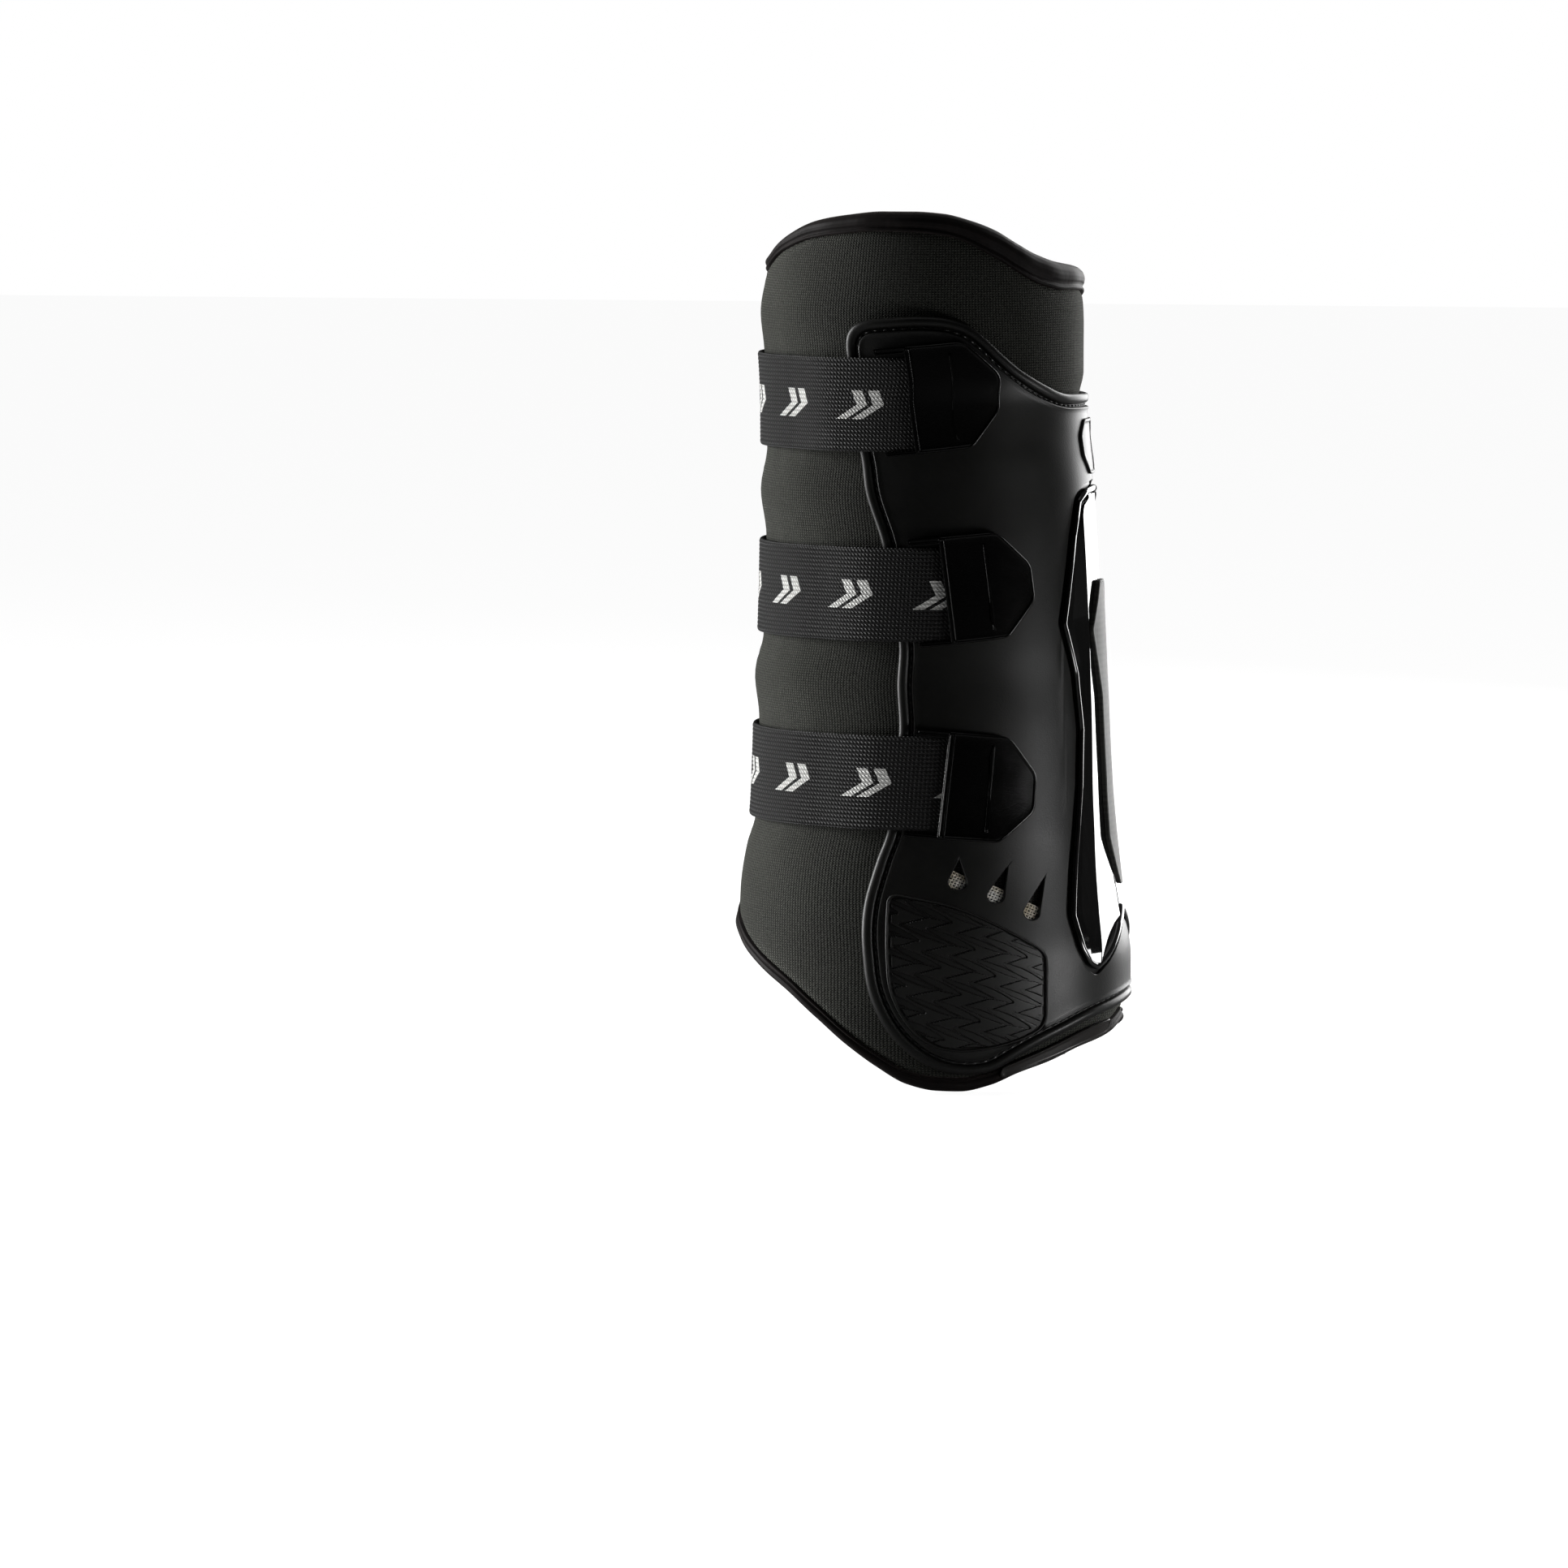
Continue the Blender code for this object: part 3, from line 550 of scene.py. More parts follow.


# Works out the fold's way across, square to the flap_fold hinge line, but only bakes the piece's placement
# into its mesh; the cloth is not bent and does not follow the flap
def foldWith(piece):
    start, end = (onWall(sleeve[key], 150.0, -3.0) for key in ("foldStart", "foldEnd"))
    hinge = next(j for j in frame["joints"] if j["name"] == "flap_fold")
    axis = np.array(hinge["axis"], float)
    axis /= np.linalg.norm(axis)
    way = end - start
    way -= axis * (way @ axis)
    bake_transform(piece)


for side in ("outer", "inner"):
    span = sleeve[side + "Span"]
    body = "shell" if side == "outer" else None
    full = sleeve["edgeBindings"][side]
    full = (full[0], span[1]) if side == "outer" else (span[0], full[1])
    jersey = addPiece(f"neoprene.{side}", body, neopreneJersey,
                      [sleeveLayer(span, overHem, underTop, -0.05, -5.0, 0.85, jerseySwell)],
                      [f"neoprene_{side}"])
    lining = addPiece(f"gelLining.{side}", body, gelLining,
                      [sleeveLayer(span, overHem, underTop, -5.2, -8.5, 0.2)],
                      [f"gel_liner_{side}"])
    roll = addPiece(f"topBinding.{side}", body, bindingTape,
                    [bindingRoll(full, topOf, lambda a: bindingCurve(outerSide(a)) + 0.5, False)],
                    [f"top_binding_{side}"])
    hem = addPiece(f"hemBinding.{side}", body, bindingTape,
                   [bindingRoll(full, hemOf, lambda a: sleeve["hemBinding"] + 0.4 + 0 * a, True)],
                   [f"hem_binding_{side}"])
    for piece, fill in ((jersey, 0.7), (lining, 0.6), (roll, 0.8), (hem, 0.8)):
        if side == "inner":
            foldWith(piece)
print("sleeve made")


# Upright bindings on both edges of the front opening: the section wraps round the edge, out and in again
def edgeBinding(side):
    first, last = sleeve["edgeBindings"][side]
    turn = np.linspace(0, 2 * math.pi, 32, endpoint=False)
    wide = np.sign(np.cos(turn)) * np.abs(np.cos(turn)) ** 0.6
    deep = np.sign(np.sin(turn)) * np.abs(np.sin(turn)) ** 0.6
    share = np.linspace(0, 1, 120)[:, None]
    angle = (first + last) / 2 + (last - first) / 2 * wide + 0 * share
    height = overHem(angle) - 0.8 + (underTop(angle) - overHem(angle) + 1.6) * share
    offset = -4.0 + 4.6 * deep + 0.06 * np.sin(height * 2)
    uv = np.stack([height, angle * 3], -1)
    return onWall(angle, height, offset), ringFaces(*height.shape), uv


for side, body in (("outer", "shell"), ("inner", "flap")):
    addPiece(f"frontBinding.{side}", body, bindingTape, [edgeBinding(side)], [f"front_binding_{side}"])

# Thin lining tongue behind the front opening, sewn to the outer side
addPiece("frontUnderlap.outer", "shell", gelLining,
         [sleeveLayer((171.0, 184.0), overHem, underTop, -8.75, -9.6, 0.0)])

# Moulded guards.

guard = {
    "front": [(249.3, 248.6, 11), (254.8, 206), (263.4, 174), (269.0, 141), (268.6, 113), (265.2, 86),
              (262, 72.5),
              (259, 60.5), (258, 49), (258.5, 39), (260, 31.5), (263.5, 23), (268, 16.5), (274.5, 10.5),
              (281, 7.2),
              (288.5, 5.8)],
    "back": {"outer": [(296.5, 6.6), (310, 14.8), (330, 22.5), (345, 25), (360, 26.5), (407, 26.5, 6),
                       (407, 224, 6),
                       (360, 224), (335, 224.5), (321, 229), (312.5, 233), (305, 238.5), (299.5, 243.5)],
             "inner": [(298, 9.5, 5), (298, 242.5, 5)]},
    "top": [(294, 247.5), (286, 250), (276, 250.5)],
    # rim section from the underside outwards: bead, stitched groove, step, body
    "profile": [(0.9, 0.5), (0.15, 0.6), (0, 1.1), (0.03, 2.0), (0.25, 2.65), (0.75, 3.1), (1.4, 3.28),
                (2.1, 3.22),
                (2.7, 2.95), (3.1, 2.5), (3.25, 1.95), (3.4, 1.7), (4.15, 1.7), (4.28, 2.0), (4.36, 2.8),
                (4.5, 3.12),
                (4.75, 3.24), (5.1, 3.16), (5.6, 3.0), (6.4, 2.95)],
    "middle": {"outer": (328, 90, 190), "inner": (278, 60, 225)},
    "spacing": {"outer": 3.0, "inner": 1.2},
    "grooveInset": 3.78,
    "grooveOffset": 1.6,
    "stitch": (2.9, 0.3),  # pitch and radius of the thread
}

vents = [((287.5, 68.5), 2.5, (288.0, 76.0)), ((299.0, 64.0), 2.4, (303.3, 73.2)),
         ((310.2, 58.2), 2.4, (316.3, 69.3))]

tread = {
    "start": [(266.6, 65.6, 4), (286, 61.5)],
    "back": {"outer": [(298, 55.5), (311, 47.2), (313.2, 44.5), (313.2, 24), (311.5, 20.2), (306, 17.3),
                       (297, 14.6)],
             "inner": [(293.2, 58.2, 4), (293.2, 14.6, 4)]},
    "end": [(287, 13.5), (279.5, 14.8), (273, 19.5), (268.5, 26.5), (265.5, 35), (265, 44.5), (265.8, 55)],
    "rim": [(0.4, 0.6), (0, 0.8), (0, 2.8), (0.1, 3.1), (0.3, 3.24), (0.55, 3.18), (0.72, 2.9), (0.9, 2.2)],
    "middle": {"outer": (289, 32, 48), "inner": (279, 32, 48)},
    "field": 2.75,  # offset of the lands
    "groove": 1.5,  # depth of the cuts
    "tip": (261.4, 47.2),  # of one tooth
    "grooveShadeFrom": 0.4,  # faces cut deeper than this share get the dull groove finish, near black as painted shade
    "cell": ((5.0, -8.75), (14.0, -2.95)),  # the pattern repeats by these steps, in mm
    # cuts as start, end and width: a sawtooth with long falling flanks, and a second one that runs into it
    "cuts": [((0, 0), (-6.1, -2.25), 0.3), ((-6.1, -2.25), (5.0, -8.75), 0.8),
             ((-5.85, 1.5), (-13.2, -0.75), 0.3),
             ((-13.2, -0.75), (-0.85, -7.25), 0.62), ((-5.85, 1.5), (0, 0), 0.3)],
}

spine = {
    "half": [(12, 193.5), (19, 190.5), (24, 179), (32, 150.5), (26, 134), (24, 116), (26, 97.5),
             (35.5, 56.5),
             (34, 45.5), (31, 40), (27, 38), (21, 41.5), (8, 50.5)],
    "top": 194.5,
    "notch": 55.0,
    "rounding": 1.6,
    "moat": 1.5,
    "tray": [(-2.2, 0.6), (-2.2, 1.5), (-2.0, 1.7), (0.5, 1.7)],
    "frame": [(0.3, 1.4), (0, 1.6), (0, 3.3), (0.2, 3.8), (0.6, 4.05), (1.3, 4.05), (1.8, 3.8), (2.1, 3.3),
              (2.2, 2.6), (2.6, 2.3)],
    # degrees from the back's middle
    "ridge": [(38, 25.8), (61, 21.2), (85, 18.6), (121, 16.4), (150, 16.2), (189, 16.6)],
    "valley": [(38, 6), (80, 4.5), (120, 4), (195, 3)],
    # lower edge, mm from the middle
    "foot": [(0, 57.2), (7.2, 52.8), (18.9, 43.7), (23, 40.6), (28, 40.4), (32, 46)],
    "facets": (2.5, 3.9, 3.3, 2.7),  # offsets at the frame, the ridge, the valley and the middle
    "span": (38.5, 191.5),  # lower and upper end of the plate
    "notchEdge": (58, 349),  # how high and how far across the notch below the plate reaches
    "evenBelow": 46,  # the plate keeps its width below this height
}


# The line down the middle of the back, in mm across
backLine = 360 * wall["mmPerDegree"]


def spineCorners():
    outer = [(360 - a, z, spine["rounding"]) for a, z in spine["half"]]
    inner = [(360 + a, z, spine["rounding"]) for a, z in reversed(spine["half"])]
    return across([*outer, (360, spine["notch"], 1), *inner, (360, spine["top"], 3)])


# A teardrop's corners: a circle of points for the round end and one at the tip
def teardrop(vent, grow=0.0):
    (angle, height), radius, tip = vent
    middle = np.array(across([(angle, height)])[0])
    way = np.array(across([tip])[0]) - middle
    lean = math.atan2(way[1], way[0])
    opening = math.acos(radius / np.hypot(*way))
    turn = np.linspace(lean + opening, lean - opening + 2 * math.pi, 11)
    arc = middle + (radius + grow) * np.stack([np.cos(turn), np.sin(turn)], -1)
    return [(*(middle + way * (1 + grow / np.hypot(*way))), 0.5), *[(*p, 99) for p in arc]]


# A cutter is an outline carried outwards: flared by `flare` in its top half millimetre, for a soft edge
def cutter(corners, middle, low, high, flare, mirror=False, grow=0.0):
    profile = [(-grow, low), (-grow, high - flare), (-grow - flare, high),
               (-grow - flare - 1.2, high + 1.2)]
    return addPiece("cutter", None, guardRubber, [moulded(corners, profile, middle, step=0.8,
                                                          mirror=mirror)])


def cutAway(piece, cutters):
    for tool in cutters:
        cut = piece.modifiers.new("cut", "BOOLEAN")
        cut.operation, cut.object, cut.solver = "DIFFERENCE", tool, "EXACT"
    graph = bpy.context.evaluated_depsgraph_get()
    done = bpy.data.meshes.new_from_object(piece.evaluated_get(graph), depsgraph=graph)
    piece.modifiers.clear()
    piece.data = done
    done.name = piece.name
    for tool in cutters:
        bpy.data.objects.remove(tool, do_unlink=True)
    done.set_sharp_from_angle(angle=math.radians(35))


# Thread in the groove: short raised loops along the inset outline, each a ring of six round a curved
# centre line
def stitches(corners, mirror):
    pitch, radius = guard["stitch"]
    path = outlineRings(corners, [guard["grooveInset"]], 1.0)[0]
    path = np.concatenate([path, path[:1]])
    run = np.concatenate([[0], np.cumsum(np.linalg.norm(np.diff(path, axis=0), axis=1))])
    starts = np.arange(0, run[-1] - pitch, pitch)
    t = np.linspace(0, 1, 7)
    at = starts[:, None] + t * pitch * 0.8
    flat = np.stack([np.interp(at, run, path[:, i]) for i in (0, 1)], -1)
    tangent = np.gradient(flat, axis=1)
    tangent /= np.linalg.norm(tangent, axis=2)[..., None]
    sideways = np.stack([-tangent[..., 1], tangent[..., 0]], -1)
    thick = radius * np.sqrt(np.clip(1 - (2 * t - 1) ** 4, 0.05, 1))[None, :, None]
    turn = np.linspace(0, 2 * math.pi, 6, endpoint=False)
    places = flat[:, :, None] + sideways[:, :, None] * (thick * np.cos(turn))[..., None]
    lift = guard["grooveOffset"] + 0.35 * np.sin(np.pi * t)[None, :, None] + thick * np.sin(turn)
    points = toWall(places, lift, mirror)
    one = ringFaces(7, 6)
    faces = (one[None] + (np.arange(len(starts)) * 42)[:, None, None]).reshape(-1, 4)
    return points, faces, None


# The field of the tread: a grid between the outline's left and right edge at each height, lowered by
# the cuts. The distance to every cut of every repeat is taken at once.
def treadField(corners, mirror):
    ring = outlineRings(corners, [0.8], 0.5)[0]
    low, high = ring[:, 1].min() + 0.05, ring[:, 1].max() - 0.05
    top, bottom = np.argmax(ring[:, 1]), np.argmin(ring[:, 1])
    left, right = (ring[min(top, bottom):max(top, bottom) + 1], np.roll(ring, -bottom,
                                                                        0)[:len(ring) - bottom + top + 1])
    if left[:, 0].mean() > right[:, 0].mean():
        left, right = right, left
    heights = np.linspace(low, high, 212)
    edges = [np.interp(heights, *np.array(sorted(zip(side[:, 1], side[:, 0]))).T) for side in (left, right)]
    share = np.linspace(0, 1, 196)
    x = edges[0][:, None] + (edges[1] - edges[0])[:, None] * share
    places = np.stack([x, np.repeat(heights[:, None], len(share), 1)], -1)
    down, over = np.array(tread["cell"])
    repeat = np.stack(np.meshgrid(np.arange(-4, 7), np.arange(-3, 4)), -1).reshape(-1, 2)
    origins = tread["tip"] + repeat[:, :1] * down + repeat[:, 1:] * over
    cut = np.zeros(places.shape[:2])
    for start, end, width in tread["cuts"]:
        span = np.subtract(end, start)
        for origin in origins + start:
            away = places - origin
            t = np.clip(away @ span / (span @ span), 0, 1)
            gap = np.linalg.norm(away - t[..., None] * span, axis=-1)
            wide = width * (0.6 + 0.8 * np.sin(np.pi * t) * (width > 0.4))
            cut = np.maximum(cut, easeIn((1.1 - gap / wide) * 1.8))
    edge = np.minimum(share, 1 - share) * (edges[1] - edges[0])[:, None]
    edge = np.minimum(edge, np.minimum(heights - low, high - heights)[:, None])
    upper = tread["field"] - tread["groove"] * cut - 0.8 * (1 - easeIn(edge / 0.9))
    ups = np.concatenate([upper, np.full_like(upper, 1.0)[:, ::-1]], 1)
    flat = np.concatenate([places, places[:, ::-1]], 1)
    # the uv holds each point's cut depth, which later picks the faces that get the painted groove shade
    uv = np.repeat(np.concatenate([cut, cut[:, ::-1] * 0], 1)[..., None], 2, -1)
    return toWall(flat, ups, mirror), ringFaces(*ups.shape), uv


# Wire cloth behind a vent: wires in two slanted directions that pass over and under each other as a
# sine, each a four-sided tube
def wireCloth(vent, mirror):
    angle, height = vent[0]
    middle = np.array(across([(angle, height - 0.2)])[0])
    pitch, reach, thick, under, swing = 0.9, 2.75, 0.24, 1.1, 0.2
    lanes = np.arange(-reach, reach + 0.01, pitch)
    t = np.linspace(-reach, reach, 48)
    turn = np.array([0, 1, 2, 3]) * math.pi / 2
    parts = []
    for slant, phase in ((math.radians(62), 0), (math.radians(-28), math.pi)):
        way, aside = np.array([math.cos(slant), math.sin(slant)]), np.array([-math.sin(slant),
                                                                             math.cos(slant)])
        lane, along = np.meshgrid(lanes, t, indexing="ij")
        parity = np.pi * np.round(lane / pitch) + phase
        lift = under + swing * np.sin(np.pi * along / pitch + parity)
        centre = middle + along[..., None] * way + lane[..., None] * aside
        flat = centre[:, :, None] + aside * (thick * np.cos(turn))[:, None]
        ups = lift[..., None] + thick * np.sin(turn)
        points = toWall(flat, ups, mirror)
        faces = (ringFaces(len(t), 4)[None] + (np.arange(len(lanes)) * len(t) * 4)[:, None,
                                                                                   None]).reshape(-1, 4)
        parts.append((points, faces, None))
    return parts


for side, body, mirror in (("outer", "shell", False), ("inner", "flap", True)):
    corners = across(guard["front"] + guard["back"][side] + guard["top"])
    treadCorners = across(tread["start"] + tread["back"][side] + tread["end"])
    middle, treadMiddle = across([guard["middle"][side], tread["middle"][side]])
    spacing = guard["spacing"][side]
    sheet = addPiece(f"guard.{side}", None, guardRubber,
                     [moulded(corners, guard["profile"], middle, step=1.5, spacing=spacing, mirror=mirror)])
    ownVents = vents if side == "outer" else vents[:1]
    tools = [cutter(treadCorners, treadMiddle, -1, 3.1, 0.12, mirror, grow=0.02)]
    for vent in ownVents:
        centre = across([vent[0]])[0]
        tools.append(cutter(teardrop(vent), (centre[0], centre[1] - 1, centre[1] + 1.5), -1, 3.1, 0.45,
                            mirror))
    if side == "outer":
        tools.append(cutter(spineCorners(), (backLine, 90, 150), -1, 3.1, 0.3, grow=spine["moat"]))
    cutAway(sheet, tools)
    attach(sheet, body)
    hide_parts(f"guard_{side}")
    addPiece(f"guardStitching.{side}", body, thread, [stitches(corners, mirror)])
    rim = moulded(treadCorners, tread["rim"], treadMiddle, step=1.0, mirror=mirror)
    pad = addPiece(f"treadPad.{side}", body, treadRubber, [rim, treadField(treadCorners, mirror)],
                   [f"tread_pad_{side}"])
    # deeply cut faces take the second finish, painted shade in the grooves
    pad.data.materials.append(grooveShadeRubber)
    depth = np.empty(len(pad.data.loops) * 2, np.float32)
    pad.data.uv_layers["millimetres"].data.foreach_get("uv", depth)
    cut = depth.reshape(-1, 4, 2)[..., 0].mean(1) > tread["grooveShadeFrom"]
    pad.data.polygons.foreach_set("material_index", cut.astype(np.int32))
    wires = [part for vent in ownVents for part in wireCloth(vent, mirror)]
    addPiece(f"ventMesh.{side}", body, steelWire, wires, [f"vent_mesh_{side}"])
print("guards made")

# Spine on the back.

spineMiddle = (backLine, 90, 150)
tray = moulded(spineCorners(), spine["tray"], spineMiddle, step=1.5)
addPiece("spineTray", "shell", guardRubber, [tray])
frameRim = moulded(spineCorners(), spine["frame"], spineMiddle, step=1.0)
addPiece("spineFrame", "shell", polishedPlastic, [frameRim], ["spine_frame"])


# Faceted plate: at each height a section from one edge over ridge, valley and middle to the other,
# with each crease doubled so that it stays crisp
def spinePlate():
    (foot, top), (notchTop, notchSide), evenBelow = (spine[key] for key in ("span", "notchEdge", "evenBelow"))
    ring = outlineRings(spineCorners(), [1.9], 0.8)[0]
    right = ring[(ring[:, 0] >= backLine) & ((ring[:, 1] > notchTop) | (ring[:, 0] > notchSide))]
    heights = np.linspace(foot, top, 140)
    order = np.argsort(right[:, 1])
    edge = np.interp(heights, right[order, 1], right[order, 0]) - backLine
    widest = np.array([max(edge[max(0, i - 1):i + 2].min(), 0.8) for i in range(len(edge))])
    widest = np.where(heights < evenBelow, np.interp(evenBelow, heights, widest), widest)
    ridge = np.minimum(smoothCurve(spine["ridge"])(heights) * wall["mmPerDegree"], widest * 0.88)
    valley = np.minimum(smoothCurve(spine["valley"])(heights) * wall["mmPerDegree"], ridge * 0.5)
    zero = 0 * heights
    atEdge, atRidge, atValley, atMiddle = spine["facets"]
    columns = [(widest, atEdge - 1.0), (widest - 0.15, atEdge),
               (widest * 0.7 + ridge * 0.3, 0.7 * atEdge + 0.3 * atRidge),
               (ridge + 0.25, atRidge - 0.03), (ridge, atRidge), (ridge - 0.25, atRidge - 0.03),
               (valley + 0.2, atValley + 0.01), (valley - 0.2, atValley + 0.01), (zero, atMiddle)]
    half = [(x, d + zero) for x, d in columns]
    x = np.stack([-h[0] for h in half] + [h[0] for h in half[-2::-1]], 1)
    d = np.stack([h[1] for h in half] + [h[1] for h in half[-2::-1]], 1)
    flat = np.concatenate([x, x[:, ::-1]], 1)
    ups = np.concatenate([d, np.full_like(d, 1.8)], 1)
    # every column is squeezed upwards to end on the notched lower edge
    lowest = np.interp(np.abs(flat), *np.array(spine["foot"]).T)
    tall = lowest + (heights[:, None] - foot) * (top - lowest) / (top - foot)
    angle = 360 + flat / wall["mmPerDegree"]
    return onWall(angle, tall, ups), ringFaces(*tall.shape), np.stack([flat, tall], -1)


addPiece("spinePlate", "shell", polishedPlastic, [spinePlate()], ["spine_plate"], sharp=3)


# A symmetric outline on the back from the corners of one half
def bothHalves(half, rounding):
    return across([(360 - a, z, rounding) for a, z in half] + [(360 + a, z, rounding) for a,
                                                               z in reversed(half)])


insert = {
    "half": [(5, 163.5), (15, 148), (8, 126), (7.5, 100), (9, 80), (2, 64)],
    "profile": [(0.3, 3.0), (0, 3.2), (0, 4.5), (0.25, 4.75), (0.6, 4.8), (0.9, 4.72), (1.3, 4.7)],
}
inlay = moulded(bothHalves(insert["half"], 1.0), insert["profile"], (backLine, 90, 140), step=1.2,
                spacing=2.0,
                mapped=True)
addPiece("spineInsert", "shell", carbonFilm, [inlay], ["spine_insert"])

emblem = {
    "half": [(8, 216), (12.5, 211), (11.5, 204), (5, 198)],
    "profile": [(0.2, 2.6), (0, 2.8), (0, 3.45), (0.2, 3.75), (0.55, 3.85), (0.95, 3.75), (1.15, 3.4),
                (1.3, 3.3)],
}
shield = moulded(bothHalves(emblem["half"], 1.5), emblem["profile"], (backLine, 204, 210), step=0.8,
                 spacing=2.0)
addPiece("shieldEmblem", "shell", guardRubber, [shield], ["emblem"])

label = {
    "outline": [(299.5, 4.4, 1.5), (310, 8), (330, 14.2), (344.5, 17.0, 1.5), (344.5, 21.2, 1.5),
                (330, 19.2), (310, 12),
                (299.5, 8.0, 1.5)],
    "profile": [(0.2, 0.5), (0, 0.7), (0, 1.35), (0.2, 1.6), (0.6, 1.62), (0.8, 1.5), (1.1, 1.48)],
}
strip = moulded(across(label["outline"]), label["profile"], (290, 11.5, 13.5), step=0.9, spacing=2.5)
addPiece("edgeLabel", "shell", labelFilm, [strip], ["label"])
print("spine and small parts made")

# Straps and tabs.

closures = {  # tab's horn-tip angle, tilt, and where the woven marks fall along the strap
    "top": {"height": strapHeights["top"], "angle": 263.0, "tilt": 6.0, "marks": 22.4},
    "middle": {"height": strapHeights["middle"], "angle": 273.0, "tilt": 5.5, "marks": 27.0},
    "bottom": {"height": strapHeights["bottom"], "angle": 272.0, "tilt": -6.0, "marks": 21.0},
}
strap = {
    "half": 15.0,
    "thickness": 1.4,
    "onSleeve": 0.75,
    "onGuard": 3.6,
    "rise": 24.0,
    "ahead": 2.5,
    "sewn": 126.0,
    "pivot": 174.6,
    "split": 238.0,
    "ribPitch": 1.33,
    "ribHeight": 0.13,
    "pickPitch": 1.3,  # scallops of the woven edge, and their height
    "scallop": 0.16,
    "samples": 181,  # points across it, and the step along it
    "step": 0.62,
}
tab = {
    "outline": [(9.4, 17.9, 0.6), (9.4, -16.85, 0.6), (26.8, -16.6, 2), (36.4, -6.4, 2), (37.1, -4.2, 1.5),
                (37.1, 4.5, 1.5), (36.4, 6.8, 2), (27.2, 17.8, 3)],
    "profile": [(0.25, 4.25), (0, 4.45), (0, 5.5), (0.15, 5.85), (0.45, 6.05), (0.8, 6.05), (1.05, 5.9),
                (1.2, 5.72),
                (1.5, 5.7)],
    "horns": [(15.6, 17.95), (-16.9, -15.35)],
    "bar": (9.4, 11.3, -16.4, 17.4),
    "fold": (22.6 - 0.45, 22.6 + 0.45, -13.6, 14.6),
    "hornProfile": [(0.2, 4.3), (0, 4.5), (0, 5.55), (0.15, 5.9), (0.4, 6.0), (0.62, 5.95), (0.78, 5.7),
                    (0.9, 5.65)],
    "barProfile": [(0.1, 5.5), (0, 5.6), (0, 6.5), (0.12, 6.7), (0.35, 6.75), (0.6, 6.6), (0.75, 6.35)],
    "foldProfile": [(0.05, 5.4), (0, 5.5), (0, 6.0), (0.1, 6.15), (0.3, 6.2)],
    "anchor": (125.3, 139.2, 16.8),  # its two edges and half its height
    "anchorProfile": [(0.2, 0.9), (0, 1.1), (0, 2.9), (0.25, 3.3), (0.7, 3.45), (1.3, 3.3), (1.6, 2.9),
                      (2.2, 2.9),
                      (2.4, 3.15), (2.8, 3.2)],
}


def onTab(name, along, up):
    c, s = math.cos(math.radians(closures[name]["tilt"])), math.sin(math.radians(closures[name]["tilt"]))
    x = closures[name]["angle"] * wall["mmPerDegree"] + along * c - up * s
    return x, closures[name]["height"] + along * s + up * c


def guardFront(height):
    front = sorted((z, a) for a, z, *_ in guard["front"])
    return np.interp(height, [z for z, _ in front], [a for _, a in front])


# The elastic: at each step along it a section up the outer face and down the inner one. The outer
# face has rounded ribs along the strap, the edges are scalloped, and its end is cut to the tab's
# tilt.
def elastic(name, first, last):
    spec = closures[name]
    tilt = math.radians(spec["tilt"])
    up = np.linspace(-strap["half"], strap["half"], strap["samples"])
    x, z = onTab(name, 9.6, 0)
    endAngle = (x - (spec["height"] + up - z) * math.tan(tilt)) / wall["mmPerDegree"]
    ends = np.full(len(up), float(last)) if last < 250 else endAngle
    steps = int((ends.mean() - first) * wall["mmPerDegree"] / strap["step"])
    share = np.linspace(0, 1, steps)[:, None]
    angle = first + (ends - first) * share
    along = (angle - strap["pivot"]) * wall["mmPerDegree"]
    scallop = strap["scallop"] * np.abs(np.sin(np.pi * along / strap["pickPitch"]))
    scallop = scallop * easeIn((np.abs(up) - 13.5) / 1.5) * np.sign(up)
    height = spec["height"] + up + scallop
    onTop = min(guardFront(spec["height"] + s * strap["half"]) for s in (-1, 1)) - strap["ahead"]
    rise = easeIn((angle - onTop) / strap["rise"] + 1)
    base = strap["onSleeve"] + (strap["onGuard"] - strap["onSleeve"]) * rise
    edge = np.sqrt(np.clip(1 - ((np.abs(up) - strap["half"] + 0.7) / 0.75).clip(0, 1) ** 2, 0, 1))
    ribs = strap["ribHeight"] * (np.abs(np.sin(np.pi * up / strap["ribPitch"])) - 0.6)
    outer = base + strap["thickness"] * (0.5 + 0.5 * edge) + ribs * edge
    inner = base + strap["thickness"] * 0.5 * (1 - edge)
    heights = np.concatenate([height, height[:, ::-1]], 1)
    angles = np.concatenate([angle, angle[:, ::-1]], 1)
    offsets = np.concatenate([outer, inner[:, ::-1]], 1)
    uv = np.stack([(angles - strap["split"]) * wall["mmPerDegree"] + spec["marks"],
                   heights - spec["height"]], -1)
    return onWall(angles, heights, offsets), ringFaces(*heights.shape), uv


# A small moulded bar in the tab's plane
def tabBar(name, left, right, low, high, profile, middle):
    corners = [(left, low, 0.5), (right, low, 0.5), (right, high, 0.5), (left, high, 0.5)]
    corners = [(*onTab(name, a, b), r) for a, b, r in corners]
    return moulded(corners, profile, middle, step=0.7, spacing=1.5)


